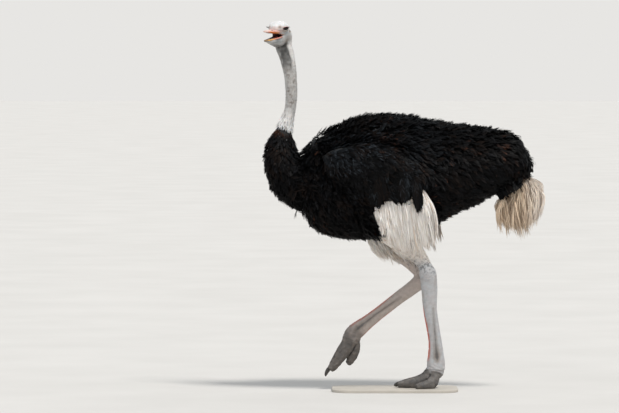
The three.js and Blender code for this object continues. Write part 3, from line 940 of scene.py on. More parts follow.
def leg_field(p, side):
    d = leg_base(p, side)
    for groove in grooves[side]:
        d = carved(d, groove.distance(p), 5)
    if side == "left":
        d = np.maximum(d, -p[:, 2])
    return d


def leg_relief(p, side):
    """Folds at the joints, round pads under the toes and the small scales between, in mm."""
    leg = legs[side]
    inner, outer = leg["inner"].distance(p), leg["outer"].distance(p)
    foot = ramp(np.minimum(inner, outer), 16, 4)
    wrinkle = noise(p * [1, 1, 2.4], 21, 5) * 1.1 + noise(p, 9, 6) * 0.55 + noise(p, 4.4, 7) * 0.3
    heel = bump(leg["shank"].distance(p), 0, 12) * bump(p[:, 2], 570, 70)
    shin = noise(p * [1, 1, 0.35], 16, 8) * 0.5 + noise(p, 5, 9) * 0.18
    joint = ramp(ball(p, *FOOT_JOINTS[side]), 22, 2)
    crease = 0
    for toe, gap, seed, deep, every in (("inner", inner, 19, 1.5, 6.5), ("outer", outer, 20, 1.2, 7.5)):
        place = leg[toe].place(p)[0] + 1.2 * noise(p, 16, seed)
        crease = crease - deep * ramp(np.cos(2 * math.pi * place / every), 0.55, 1.0) * ramp(gap, 6, 1)
    folds = crease + np.sin(p[:, 2] / 3.2 + p[:, 1] / 9 + 2.5 * noise(p, 34, 10)) * 0.8 * joint
    return wrinkle * (0.35 + 1.2 * foot + 0.5 * heel) * 0.8 + shin * (1 - foot) + folds


LEG_BOXES = {"left": ((-60, -70, -4), (170, 240, 800)), "right": ((-180, -420, 60), (-40, 180, 760))}
LEG_STEP = 2.3
leg_meshes = []
for side in ("left", "right"):
    field = lambda p, side=side: leg_field(p, side)
    points, faces = surface_net(field, *LEG_BOXES[side], LEG_STEP)
    points, out = settled(field, points)
    points = points + out * leg_relief(points, side)[:, None]
    if side == "left":
        points[:, 2] = np.maximum(points[:, 2], 0)
    leg_meshes.append((points, faces))
    print("leg:", len(points), "points")

# %% [markdown]
# ## The body under the coat
# The trunk, the feathered neck, the wings and the root of the tail never show as skin, but feathers must grow from
# something. Their bodies are made thinner than the solids by the depth of the coat, so the feather tips end up where
# the solids have their surface. A coarse grid is enough for what lies in the dark.

# %% The field of the body
TRUNK = [
    # y, top, bottom, half-width
    [-562, 1112, 1010, 70],
    [-540, 1190, 952, 106],
    [-505, 1262, 892, 142],
    [-474, 1328, 846, 165],
    [-431, 1352, 812, 190],
    [-377, 1372, 792, 214],
    [-311, 1396, 781, 236],
    [-240, 1432, 779, 252],
    [-172, 1450, 781, 260],
    [-90, 1449, 788, 264],
    [0, 1437, 804, 264],
    [92, 1425, 829, 258],
    [183, 1406, 862, 246],
    [289, 1390, 924, 228],
    [382, 1377, 960, 204],
    [460, 1368, 1006, 178],
    [540, 1350, 1040, 148],
    [600, 1321, 1062, 118],
    [650, 1266, 1090, 82],
    [688, 1190, 1140, 40],
]
WIDEST_AT = 0.46  # of the height
NECK_FEATHERED = [
    [0, -616, 1366, 40, 42, 45],
    [0, -629, 1326, 58, 66, 66],
    [0, -639, 1262, 80, 88, 84],
    [0, -636, 1197, 98, 100, 96],
    [0, -610, 1138, 116, 112, 106],
    [0, -562, 1088, 132, 124, 120],
    [0, -500, 1066, 138, 126, 134],
]
WING = [
    [170, -410, 1214, 24, 36, 40],
    [196, -350, 1202, 44, 78, 88],
    [212, -262, 1188, 58, 106, 140],
    [220, -166, 1166, 62, 126, 180],
    [226, -74, 1142, 62, 130, 180],
    [228, 10, 1114, 56, 122, 156],
    [222, 80, 1088, 44, 88, 84],
    [210, 128, 1066, 28, 46, 40],
]
TAIL_ROOT = [
    [0, 480, 1034, 46, 36, 26],
    [0, 540, 1044, 70, 50, 38],
    [0, 600, 1062, 66, 46, 36],
    [0, 645, 1082, 40, 34, 26],
]
COAT_DEPTH = {"trunk": 34.0, "neck": 20.0, "wing": 20.0}
THIGH_ENDS = 812  # the coat ends at this height on the thighs


def trunk_body(thinner):
    """The trunk with its sides pulled in, and its two ends a little less."""
    rows = []
    for y, top, bottom, half in TRUNK:
        middle = bottom + WIDEST_AT * (top - bottom)
        pulled_in = y + thinner * 0.8 * (y < -540) - thinner * float(np.interp(y, [600, 688], [0, 0.8]))
        rows.append([0, pulled_in, middle, half, top - middle, middle - bottom])
    return Body(rows, cap=0.02, upright=True, samples=160, thinner=thinner)


trunk = trunk_body(COAT_DEPTH["trunk"])
neck_coated = Body(NECK_FEATHERED, cap=0.02, samples=60, thinner=COAT_DEPTH["neck"])
wing = Body(WING, cap=0.05, samples=60, thinner=COAT_DEPTH["wing"])
tail_root = Body(TAIL_ROOT, samples=40)
MIRROR = np.array([-1.0, 1, 1])


def to_left(p):
    """Points of the right side, mirrored to the left."""
    return np.where(p[:, :1] < 0, p * MIRROR, p)


def body_field(p):
    """The surface from which the black coat grows."""
    d = joined(trunk.distance(p), neck_coated.distance(p), 40)
    d = joined(d, wing.distance(to_left(p)), 90)
    d = joined(d, tail_root.distance(p), 24)
    for side in legs:
        thigh = np.maximum(legs[side]["shank"].distance(p), THIGH_ENDS - p[:, 2])
        d = joined(d, thigh, 30)
    return d


def body_with_thighs(p):
    d = body_field(p)
    for side in legs:
        d = joined(d, legs[side]["shank"].distance(p), 40)
    return d


BODY_BOX = ((-345, -800, 690), (345, 780, 1490))
BODY_STEP = 9.0
body_points, body_faces = surface_net(body_with_thighs, *BODY_BOX, BODY_STEP)
print("body:", len(body_points), "points")

# %% [markdown]
# ## Markings of the skin
# The neck is pale grey, thinly covered and speckled; the throat under the jaw is darker skin, deepened by a painted
# shadow of the head. Red flushes the front of the shins, and the feet are brown-grey. Painted shade darkens the skin
# under the lower jaw's rim, the rims of the eye openings, the back of the mouth, the grooves of the shins and the
# cleft between the toes, and the far thigh is painted darker and tan as in shade. Under the black coat the skin is
# black as well, so no pale skin glints through it. Each colour is painted by place, with noise at its edges.

# %% Colours by place
GREY_SKIN = np.array([0.37, 0.36, 0.35])
WHITE_SKIN = np.array([0.66, 0.65, 0.635])
# the throat's dark grey skin, deepened by a painted shadow of the head
THROAT_SHADE_GREY = np.array([0.034, 0.035, 0.034])
PINK_SKIN = np.array([0.60, 0.33, 0.29])
LORE_BROWN = np.array([0.21, 0.15, 0.10])
OLIVE = np.array([0.20, 0.19, 0.13])
BLUE_GREY = np.array([0.20, 0.235, 0.255])
LID_PINK = np.array([0.52, 0.22, 0.21])
MOUTH_RED = np.array([0.12, 0.012, 0.012])
# nearly black painted shade, deep in the mouth and in the creases of the eye openings
PAINTED_SHADE_DARK = np.array([0.012, 0.003, 0.003])
CORNER_ORANGE = np.array([0.75, 0.17, 0.03])
GUM_PINK = np.array([0.72, 0.24, 0.18])
BLACK_COAT = np.array([0.0018, 0.0017, 0.0019])
RUST = np.array([0.105, 0.043, 0.024])
LEG_GREY = np.array([0.46, 0.465, 0.475])
LEG_PINK = np.array([0.52, 0.33, 0.28])
LEG_TAN = np.array([0.50, 0.42, 0.35])
SHIN_RED = np.array([0.60, 0.10, 0.05])
FOOT_BROWN = np.array([0.135, 0.115, 0.098])
FOOT_DARK = np.array([0.056, 0.057, 0.058])
THIGH_WHITE = np.array([0.80, 0.74, 0.68])


def head_marking(p):
    """Colour of the head and the bare neck."""
    q = to_head(p)
    x, y, z = q.T
    mottle = noise(p, 14, 11)
    colour = mixed(painted(WHITE_SKIN, len(p)), GREY_SKIN, 0.45 + 0.25 * mottle)
    nape = ramp(y, 30, 55) * ramp(z, -60, 10)
    crown = ramp(z, 2, 16)
    colour = mixed(colour, WHITE_SKIN * [1.16, 1.20, 1.24], np.maximum(nape, crown) * 0.95)
    i = nearest(neck_bare.centre, p)
    around = unit((p - neck_bare.centre[i])[:, :2])
    on_neck = ramp(z + 22 * ramp(y, 28, 0), -52, -84)
    behind = ramp(around[:, 1] + 0.12 * mottle, 0.35, 0.72)
    before = ramp(around[:, 1] + 0.12 * mottle, -0.72, -0.92)
    freckled = ramp(noise(p * [1, 1, 0.7], 6, 21) + 0.5 * noise(p, 15, 22), -0.2, 0.9)
    high = p[:, 2]
    streak = ramp(high, 1440, 1500) * ramp(high, 1760, 1700) * (0.25 + 0.65 * freckled) * (1 - 0.6 * before)
    colour = mixed(colour, LORE_BROWN * 0.5, streak * (1 - 0.35 * behind) * 0.8)
    # Painted shadow of the head: the throat's darker skin turns nearly black on the neck's front and sides just under
    # the jaw.
    dark = on_neck * (1 - behind) * (1 - 0.45 * before) * ramp(high, 1640, 1740)
    colour = mixed(colour, THROAT_SHADE_GREY, dark * (0.85 + 0.15 * mottle))
    corner = bump(np.linalg.norm(to_left(q) - [38, 26, -62], axis=1), 0, 20)
    corner = np.maximum(corner, 0.5 * bump(y, 22, 14) * bump(z, -44, 16))
    colour = mixed(colour, LORE_BROWN * 0.7, corner * 0.6)
    colour = mixed(colour, WHITE_SKIN * 1.12, on_neck * behind * 0.8 * ramp(high, 1620, 1760))
    # Blue-grey skin under the lower jaw's rim, darkened by painted shade from the rim.
    shaded_jowl = bump(z, -62, 13) * bump(y, -46, 30)
    colour = mixed(colour, BLUE_GREY, shaded_jowl * 0.75)
    cheek = bump(z, -26, 14) * bump(y, 12, 18) * (np.abs(x) > 20)
    colour = mixed(colour, BLUE_GREY * 1.4, cheek * 0.5)
    face = ramp(y, 0, -30) * ramp(z, -32, -16)
    colour = mixed(colour, PINK_SKIN, face * (1 - 0.85 * crown) * (0.36 + 0.2 * noise(p, 9, 12)))
    for side in (1, -1):
        lore = bump(side * x, 34, 8) * bump(y, -42, 10) * bump(z, 6, 7)
        colour = mixed(colour, LORE_BROWN, lore * 0.8)
        edge = opening_edge(q, side)
        _, up, reach = eye_angles(q, side)
        near = ramp(reach, EYE_RADIUS + 11, EYE_RADIUS + 5)
        colour = mixed(colour, LID_PINK, near * ramp(edge, 5.5, 2.5) * ramp(up, -0.1, 0.12) * 0.8)
        colour = mixed(colour, OLIVE, near * bump(edge, 6, 4) * ramp(up, -0.12, -0.3) * 0.75)
        # Painted shade in the crease where the lid meets the eyeball.
        colour = mixed(colour, PAINTED_SHADE_DARK, near * ramp(edge, 1.4, 0.4) * 0.85)
        ear = ball(q, (side * 47, 36, -16), (8, 9, 7))
        colour = mixed(colour, LORE_BROWN, ramp(ear, 2, -3) * 0.8)
    gape_edge = mouth_space(q)
    lip = ramp(gape_edge, 6.5, 2.0) * ramp(y, -60, -30)
    wide_lip = ramp(gape_edge, 9.5, 4.5) * ramp(y, -60, -30)
    colour = mixed(colour, CORNER_ORANGE, wide_lip * ramp(z, -37, -33) * 0.9)
    colour = mixed(colour, GUM_PINK, lip * ramp(z, -36, -41) * 0.85)
    inside = ramp(gape_edge, 2.2, 0.8) * ramp(y, 40, 30)
    colour = mixed(colour, MOUTH_RED, inside)
    # Painted shade: the mouth turns nearly black towards its back.
    return mixed(colour, PAINTED_SHADE_DARK, inside * ramp(y, -30, -8))


def collar_height(p):
    """Height over the slanting edge of the black coat, counted from z 1368 at the middle of the neck."""
    return p[:, 2] + 0.40 * (p[:, 1] + 612)


def neck_marking(p):
    """Adds the neck's white collar and the black coat below it."""
    colour = head_marking(p)
    edge = collar_height(p) + 9 * noise(p, 22, 13)
    collar = ramp(edge, 1470, 1425)
    colour = mixed(colour, np.array([0.74, 0.72, 0.70]), collar * 0.85)
    return mixed(colour, BLACK_COAT, ramp(edge, 1372, 1362))


def leg_marking(p, side):
    """Colour of a leg, from the pale thigh to the dark foot."""
    leg = legs[side]
    mottle = noise(p, 18, 14)
    i, _, _, above = leg["tarsus"].place(p)
    share = i / (len(leg["tarsus"].size) - 1)
    pinkish = 0.04 if side == "left" else 0.34
    colour = mixed(painted(LEG_GREY, len(p)), LEG_PINK, pinkish + 0.1 * mottle)
    if side == "right":
        colour = mixed(colour, LEG_TAN, 0.5)
    colour = mixed(colour, FOOT_BROWN * 2.2, ramp(noise(p * [1, 1, 0.4], 30, 16), 0.2, 0.9) * 0.35)
    thigh = ramp(p[:, 2], 640, 700)
    # The far, right thigh's bare skin is painted darker and tan: painted shade of the far side.
    bare = THIGH_WHITE if side == "left" else THIGH_WHITE * [0.82, 0.70, 0.56]
    colour = mixed(colour, bare, thigh * 0.9)
    heel = bump(p[:, 2], 650, 55) * ramp(noise(p, 9, 15) + 0.6 * noise(p, 4, 17), -0.1, 0.6)
    colour = mixed(colour, FOOT_DARK * 1.6, heel * 0.75)
    forward = -above / np.maximum(leg["tarsus"].size[i, 2], 1)
    on_shin = ramp(share, 0.28, 0.42) * ramp(share, 0.84, 0.74) * (0.75 + 0.25 * noise(p, 12, 18))
    strength = 0.9 if side == "left" else 0.55
    colour = mixed(colour, SHIN_RED, on_shin * ramp(forward, 0.70, 0.92) * strength)
    if side == "right":
        behind = above / np.maximum(leg["tarsus"].size[i, 1], 1)
        colour = mixed(colour, SHIN_RED * 1.1, on_shin * ramp(behind, 0.78, 0.95) * 0.45)
    lower = ramp(share, 0.5, 0.8)
    # Painted shade in the grooves beside the tendons: brown around each groove and nearly black in it.
    for groove in grooves[side]:
        gap = groove.distance(p)
        colour = mixed(colour, FOOT_BROWN * 1.5, ramp(gap, 12.0 + 10 * lower, 1.0) * (0.45 + 0.35 * lower))
        colour = mixed(colour, FOOT_DARK, ramp(gap, 2.2, 0.0) * 0.7)
    inner, outer = leg["inner"].distance(p), leg["outer"].distance(p)
    toes = np.minimum(inner, outer)
    joint = ball(p, *FOOT_JOINTS[side])
    low = ramp(joint, 8, -8) * 0.5 if side == "left" else ramp(joint, 46, 2) * 0.75
    low = np.maximum(ramp(toes, 22, 2), low)
    low = np.clip(np.maximum(low, ramp(toes, 12, 1)) + 0.15 * mottle * (low > 0.02), 0, 1)
    foot = mixed(painted(FOOT_BROWN, len(p)), FOOT_DARK, 0.45 + 0.4 * mottle)
    colour = mixed(colour, foot, low * 0.94)
    # Painted shade in the cleft between the two toes.
    return mixed(colour, FOOT_DARK * 0.4, ramp(np.maximum(inner, outer), 9, 3) * 0.8)


def body_marking(p):
    """Black under the coat, pale on the thighs."""
    thigh = np.minimum(legs["left"]["shank"].distance(p), legs["right"]["shank"].distance(p))
    bare = ramp(thigh, 10, 3) * ramp(p[:, 2], 930, 860) * ramp(p[:, 1], -145, -125)
    return mixed(painted(BLACK_COAT, len(p)), THIGH_WHITE, bare)


# %% [markdown]
# ## The skin material
# The marking gives the colour. On top lie the small things that make skin look alive: pores and speckles where hair
# grows, a net of fine scales, and a gloss that changes with the mottling. The net comes from a cell pattern, which is
# what such skin looks like close up.

# %% Skin
skin_look, tree, shader = new_material("skin")
mottle = noise_of(tree, 60, 6).outputs["Fac"]
how_mottled = mapped(tree, mottle, 0.35, 0.7, 0.0, 0.35)
broken = mix_colour(tree, how_mottled, marking_of(tree), (0.55, 0.52, 0.50), "MULTIPLY")
place = add_node(tree, "TexCoord").outputs["Object"]
pores = add_node(tree, "TexVoronoi", {"Vector": place}, Scale=230.0, Randomness=0.9).outputs["Distance"]
clumps = noise_of(tree, 38, 3).outputs["Fac"]
links = {0: mapped(tree, pores, 0.30, 0.16), 1: mapped(tree, clumps, 0.46, 0.6)}
dots = add_node(tree, "Math", links, operation="MULTIPLY").outputs[0]
speckled = mix_colour(tree, mapped(tree, dots, 0, 1, 0, 0.55), broken, (0.16, 0.13, 0.115))
tree.links.new(speckled, shader.inputs["Base Color"])
net = add_node(tree, "TexVoronoi", {"Vector": place}, Scale=190.0, feature="DISTANCE_TO_EDGE")
how_scaly = add_node(tree, "Attribute", attribute_name="Marking").outputs["Alpha"]
grain = noise_of(tree, 420, 4).outputs["Fac"]
links = {0: mapped(tree, net.outputs["Distance"], 0, 0.16), 1: how_scaly}
scaly = add_node(tree, "Math", links, operation="MULTIPLY").outputs[0]
fine = relief(tree, shader, scaly, 0.0008, 0.6)
relief(tree, shader, grain, 0.0006, 0.5, fine)
tree.links.new(mapped(tree, mottle, 0.3, 0.7, 0.52, 0.74), shader.inputs["Roughness"])
shader.inputs["Subsurface Weight"].default_value = 0.08
shader.inputs["Subsurface Radius"].default_value = (0.006, 0.003, 0.002)
shader.inputs["Subsurface Scale"].default_value = 0.5

# %% [markdown]
# ## One skin
# The head with its neck, the two legs and the body are closed meshes that run into each other. A boolean union
# makes them one skin without inner walls. The joints lie deep in the coat, where nobody sees them.

# %% Joining the skin
HEAD_SCALY, LEG_SCALY = 0.1, 1.0


def with_scaliness(colour, scaly):
    """The marking with its fourth channel, which says how strong the net of scales is."""
    return np.column_stack([colour, np.broadcast_to(scaly, len(colour))])


def drop_islands(mesh):
    """Removes bits that hang together with nothing: only the largest connected part stays."""
    edges = np.empty(len(mesh.edges) * 2, np.int32)
    mesh.edges.foreach_get("vertices", edges)
    a, b = edges.reshape(-1, 2).T
    label = np.arange(len(mesh.vertices))
    while True:
        least = np.minimum(label[a], label[b])
        before = label.copy()
        np.minimum.at(label, a, least)
        np.minimum.at(label, b, least)
        label = label[label]
        if np.array_equal(label, before):
            break
    names, counts = np.unique(label, return_counts=True)
    stray = np.flatnonzero(label != names[np.argmax(counts)])
    print("stray points removed from the skin:", len(stray))
    if len(stray):
        shaped = bmesh.new()
        shaped.from_mesh(mesh)
        shaped.verts.ensure_lookup_table()
        bmesh.ops.delete(shaped, geom=[shaped.verts[i] for i in stray], context="VERTS")
        shaped.to_mesh(mesh)
        shaped.free()


head_colours = neck_marking(head_points)
q, facing = to_head(head_points), head_out @ HEAD_AXES.T
inner_wall = (facing[:, 0] * q[:, 0] < 0) | (facing[:, 1] < -0.75)
inner_wall &= (mouth_space(q) < 9) & (np.abs(q[:, 0]) < 36)
inner_wall &= between(q[:, 1], -46, 30) & between(q[:, 2], -62, -28)
head_colours = mixed(head_colours, MOUTH_RED * 0.6, inner_wall * 1.0)
parts = [("skin", head_points, head_faces, with_scaliness(head_colours, HEAD_SCALY))]
for side, (points, faces) in zip(legs, leg_meshes):
    bare = ramp(points[:, 2], 640, 560) * LEG_SCALY + 0.15
    parts.append((f"skin_{side}_leg", points, faces, with_scaliness(leg_marking(points, side), bare)))
parts.append(("skin_body", body_points, body_faces, with_scaliness(body_marking(body_points), 0.15)))
made = [add_mesh(name, points, faces, skin_look, marking) for name, points, faces, marking in parts]
skin = made[0]
for other in made[1:]:
    union = skin.modifiers.new("union", "BOOLEAN")
    union.operation = "UNION"
    union.solver = "MANIFOLD"
    union.object = other
    bpy.context.view_layer.objects.active = skin
    bpy.ops.object.modifier_apply(modifier=union.name)
    bpy.data.objects.remove(other)
drop_islands(skin.data)
skin.data.polygons.foreach_set("use_smooth", np.ones(len(skin.data.polygons), bool))
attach(skin, "root")
flesh = ["head", "neck_upper", "neck_lower", "trunk"]
flesh += [f"{node}_{side}" for node in ("shank", "tarsus", "toe_inner", "toe_outer") for side in legs]
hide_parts(*flesh)
print("one skin of", len(skin.data.polygons), "faces")

# %% [markdown]
# ## The bill
# The bill is horn: a broad upper half with a nail at its tip and long nostrils, and a lower half that is a rim round
# soft skin. Each half is one more blended body, on a finer grid than the skin. Its edges are orange and salmon, and
# the horn is pinkish white at the tip. The roof of the mouth is hollowed, so that the edges stand as thin lips.

# %% Both halves of the bill
HORN_WHITE = np.array([0.74, 0.56, 0.50])
HORN_PINK = np.array([0.66, 0.38, 0.33])
EDGE_ORANGE = np.array([0.78, 0.20, 0.035])
EDGE_YELLOW = np.array([0.74, 0.44, 0.13])
RIM_SALMON = np.array([0.74, 0.25, 0.19])
PALATE = [
    [0, -118, -23.5, 6, 2, 3],
    [0, -100, -25.5, 13, 3, 5],
    [0, -76, -28, 18, 5, 6],
    [0, -50, -30, 22, 7, 8],
    [0, -24, -31, 26, 8, 8],
    [0, 4, -31, 26, 6, 8],
]
palate = Body(PALATE, cap=0.08, upright=True, samples=90)


def nostril(q, side):
    return ball(q, (side * 17, -86, -11.8), (3.2, 8.5, 2.4))


def upper_field(q):
    d = upper_bill.distance(q)
    ridge = ball(q, (0, -74, -13), (7, 46, 5.5))
    nail = ball(q, (0, -118, -17), (12, 11, 4.5))
    d = joined(joined(d, ridge, 9), nail, 5)
    for side in (1, -1):
        around = ball(q, (side * 15, -84, -13.5), (6, 14, 4.5))
        d = joined(d, around, 6)
        d = carved(d, nostril(q, side), 1.4)
        groove = ball(q, (side * 25.5, -84, -17.5), (1.3, 30, 1.3))
        d = carved(d, groove, 2)
    d = carved(d, palate.distance(q), 2)
    d = np.maximum(d, q[:, 1] + 18)
    return np.maximum(d, q[:, 1] + 24 - (q[:, 2] + 34) * 0.2)


def rim_height(q):
    """How far a point lies under the rim of the lower half."""
    return np.interp(q[:, 1], [-123, -97, -70, -42, -16, 8], [-60, -57, -51, -44, -37.5, -32]) - q[:, 2]


def lower_field(q):
    d = lower_bill.distance(q)
    d = joined(d, ball(q, (0, -114, -68), (13, 11, 5)), 4)
    d = carved(d, mouth_space(q), 2)
    d = np.maximum(d, rim_height(q) - np.interp(q[:, 1], [-120, -100, -60], [20, 15, 13]))
    return np.maximum(d, q[:, 1] + 8)


def upper_marking(q):
    x, y, z = q.T
    streak = noise(q * [1, 0.25, 1], 3.5, 21)
    whiter = np.clip(ramp(y, -66, -112) + 0.2 * streak, 0, 1)
    colour = mixed(painted(HORN_PINK, len(q)), HORN_WHITE, whiter)
    ridge = bump(np.hypot(np.abs(x) - 15, z + 9), 0, 7) * bump(y, -74, 14)
    colour = mixed(colour, LID_PINK * 1.15, ridge * 0.65)
    edge = ramp(z - np.interp(y, [-125, -84, -34, 8], [-21.5, -28, -32, -32]), 12.0, 7.0) * ramp(y, -124, -98)
    colour = mixed(colour, EDGE_ORANGE, edge)
    colour = mixed(colour, EDGE_YELLOW, edge * bump(y, -52, 12) * 0.6)
    hole = np.minimum(nostril(q, 1), nostril(q, -1))
    colour = mixed(colour, MOUTH_RED, ramp(hole, 1.0, -0.4))
    inside = np.maximum(ramp(palate.distance(q), 1.2, 0.3), ramp(mouth_space(q), 0.8, 0) * ramp(y, -45, -32))
    return mixed(colour, MOUTH_RED * 0.8, inside)


def lower_marking(q):
    y = q[:, 1]
    streak = noise(q * [1, 0.25, 1], 3.5, 22)
    yellower = np.clip(ramp(y, -52, -104) + 0.25 * streak, 0, 1)
    colour = mixed(painted(RIM_SALMON, len(q)), EDGE_YELLOW, yellower)
    colour = mixed(colour, LORE_BROWN * 0.5, ramp(y, -110, -119) * 0.75)
    under = ramp(rim_height(q), 5.0, 9.0)
    colour = mixed(colour, GREY_SKIN * 0.75, under * 0.8)
    inside = ramp(mouth_space(q), 1.6, 0.4)
    # Inside, the lower half turns darker towards the back of the mouth: painted shade.
    return mixed(colour, mixed(MOUTH_RED * 1.2, PAINTED_SHADE_DARK, ramp(y, -95, -30)), inside)


horn = grained(
    "horn", (90, 5), (1.0, 0.4, 2.2), (0.3, 0.75, 0.4), [(0.62, 0.52, 0.47)], (0.30, 0.48), (0.0006, 0.35),
    Subsurface_Weight=0.06, Subsurface_Radius=(0.004, 0.002, 0.001),
)

BILL_STEP = 1.1
BILL_PIECES = (
    ("upper_bill", upper_field, upper_marking, ((-48, -136, -42), (48, -14, 14)), "bill_upper"),
    ("lower_bill", lower_field, lower_marking, ((-48, -130, -92), (48, -4, -20)), "bill_lower"),
)
for name, field, marking, box, node in BILL_PIECES:
    points, faces = surface_net(field, *box, BILL_STEP)
    points, out = settled(field, points)
    points = points + out * (noise(points * [1, 0.3, 1], 4, 23) * 0.16)[:, None]
    colours = marking(points)
    add_piece(name, from_head(points), faces, horn, "bill", (node,), colours)

# %% [markdown]
# ## The tongue
# An ostrich's tongue is short and blunt and lies far back in the floor of the mouth. It only shows as a dull red
# shape in the dark, but without it the open mouth looks like an empty box.

# %% Tongue
TONGUE = [[0, -64, -60, 7, 2, 3], [0, -52, -57, 12, 4, 4], [0, -34, -52, 14, 5, 6], [0, -12, -45, 12, 5, 8]]
tongue = Body(TONGUE, cap=0.2, upright=True, samples=60)
TONGUE_COLOURS = ((0.24, 0.05, 0.045), (0.34, 0.09, 0.08))
tongue_look = grained("tongue", (300, 3), None, (0.35, 0.65, 1), TONGUE_COLOURS, 0.35, (0.0005, 0.5))
points, faces = surface_net(tongue.distance, (-20, -72, -74), (20, 2, -34), 1.6)
add_piece("tongue", from_head(points), faces, tongue_look, "bill")

# %% [markdown]
# ## Eyes
# The eyeball is 45 mm across, more than a table-tennis ball, and mostly hidden. What shows is a deep brown iris round
# a black pupil, under the bulge of the cornea. The bulge is part of the mesh, so that it catches its own light.

# %% Eyeballs
IRIS_ANGLE = math.radians(30)
PUPIL_ANGLE = math.radians(19)
IRIS_BROWN, PUPIL_BLACK, EYE_EDGE = [0.016, 0.008, 0.005], [0.006, 0.004, 0.003], [0.012, 0.008, 0.006]
BULGE = 0.055  # of the radius, how far the cornea stands out
eye_look = grained(
    "eye", (700, 3), None, (0.3, 0.7, 0.5), [(0.6, 0.5, 0.45)], 0.03, Specular_IOR_Level=0.22
)


def ring_faces(rings, around):
    """Four-sided faces between rings of points that follow each other."""
    ring = np.arange(around)
    after = (ring + 1) % around
    band = np.stack([ring, after, around + after, around + ring], axis=1)
    return np.vstack([r * around + band for r in range(rings - 1)])


def eyeball(side, rings=72, around=96):
    """A ball whose pole is the pupil, with the cornea's bulge on it."""
    angle = math.pi * (np.arange(1, rings) / rings) ** 1.25
    turn = 2 * math.pi * np.arange(around) / around
    a, t = (g.ravel() for g in np.meshgrid(angle, turn, indexing="ij"))
    radius = EYE_RADIUS - 0.1
    reach = radius * (1 + BULGE * ramp(a, IRIS_ANGLE * 1.15, 0.1))
    local = np.stack([np.sin(a) * np.cos(t), np.sin(a) * np.sin(t), np.cos(a)], axis=1) * reach[:, None]
    local = np.vstack([local, [0, 0, radius * (1 + BULGE)], [0, 0, -radius]])
    outwards = math.cos(EYE_LOOKS) * math.cos(EYE_DIPS)
    look = np.array([side * outwards, -math.sin(EYE_LOOKS), math.sin(EYE_DIPS)])
    sideways = unit(np.cross([0, 0, 1.0], look))
    points = local @ np.stack([sideways, np.cross(look, sideways), look]) + [side * EYE_OUT, 0, 0]
    faces = np.roll(ring_faces(rings - 1, around)[:, ::-1], 1, axis=1)
    ring = np.arange(around)
    after = (ring + 1) % around
    end = (rings - 2) * around
    front = np.stack([np.full(around, len(points) - 2), ring, after], axis=1)
    back = np.stack([np.full(around, len(points) - 1), end + after, end + ring], axis=1)
    a = np.append(a, [0, math.pi])
    iris = mixed(painted(IRIS_BROWN, len(a)), PUPIL_BLACK, ramp(a, PUPIL_ANGLE * 1.08, PUPIL_ANGLE))
    colour = mixed(iris, EYE_EDGE, ramp(a, IRIS_ANGLE, IRIS_ANGLE * 1.12))
    return points, [faces, np.vstack([front, back])], colour


for side, name in ((1, "left"), (-1, "right")):
    points, faces, colour = eyeball(side)
    add_piece(f"eyeball_{name}", from_head(points), faces, eye_look, "eye", (f"eye_{name}",), colour)

# %% [markdown]
# ## Lashes
# An ostrich has long black lashes. They aren't hairs but bristle feathers, stiff and curved. Each is a thin tapering
# blade that grows from the rim of the upper lid and sweeps out and a little down.

# %% Lashes
LASH_COLOURS = ((0.008, 0.006, 0.006), (0.035, 0.022, 0.016))
lash_look = grained("lash", (500, 2), None, (0.3, 0.7, 1), LASH_COLOURS, 0.4)


def repeated(faces, count, corners):
    """The faces of one tuft, repeated for so many tufts of so many corners."""
    return (np.arange(count)[:, None, None] * corners + faces).reshape(-1, faces.shape[1])


def tapered_threads(roots, ways, bends, lengths, widths, steps=5, sides=3):
    """Thin closed spikes: each bends towards its bend as it goes, and ends in a point."""
    share = np.linspace(0, 1, steps + 1)
    at = share[None, :, None]
    line = roots[:, None] + lengths[:, None, None] * (at * ways[:, None] + at**2 * bends[:, None])
    ahead = unit(np.gradient(line, axis=1))
    side_way = unit(np.cross(ahead, [0.3, 0.2, 1.0]))
    up_way = np.cross(side_way, ahead)
    turn = 2 * math.pi * np.arange(sides) / sides
    round_way = side_way[:, :, None] * np.cos(turn)[:, None] + up_way[:, :, None] * np.sin(turn)[:, None]
    thick = widths[:, None] / 2 * (1 - share) ** 0.7 + 0.02
    points = line[:, :, None] + round_way * thick[:, :, None, None]
    faces = repeated(ring_faces(steps + 1, sides), len(roots), (steps + 1) * sides)
    return points.reshape(-1, 3), faces


def lashes(side, count=34):
    rng = np.random.default_rng(40 + side)
    share = np.linspace(-0.86, 0.92, count) + rng.normal(0, 0.02, count)
    wide, high = OPENING
    up = high * 0.86 * np.sqrt(np.clip(1 - share**2, 0.05, 1)) * 1.06
    across = share * wide
    up = up - 0.10 * across
    a, u = across + EYE_LOOKS, up + EYE_DIPS
    way = np.stack([side * np.cos(u) * np.cos(a), -np.cos(u) * np.sin(a), np.sin(u)], 1)
    roots = way * (EYE_RADIUS + 1.7) + [side * EYE_OUT, 0, 0]
    sweep = np.stack([side * 0.2 * np.ones(count), -share * 0.55 - 0.10, np.full(count, -0.34)], 1)
    ways = unit(way + sweep + rng.normal(0, 0.08, (count, 3)))
    bends = np.tile([side * 0.1, -0.05, 0.22], (count, 1)) + rng.normal(0, 0.05, (count, 3))
    lengths = (13 + 5 * np.sqrt(1 - np.clip(share, -1, 1) ** 2)) * rng.uniform(0.8, 1.1, count)
    points, faces = tapered_threads(roots, ways, bends, lengths, np.full(count, 0.95))
    return from_head(points), faces


for side, name in ((1, "left"), (-1, "right")):
    add_piece(f"lashes_{name}", *lashes(side), lash_look, "black_feather")

# %% [markdown]
# ## Where feathers grow
# A coat looks natural when its feathers are spaced evenly but not in lines. Random places on the skin are thinned
# until none is too close to another. How close they may be depends on the place: small feathers stand close on the
# neck, large ones further apart on the back.

# %% Scattering roots


def triangles_of(faces):
    return np.vstack([faces[:, [0, 1, 2]], faces[:, [0, 2, 3]]])


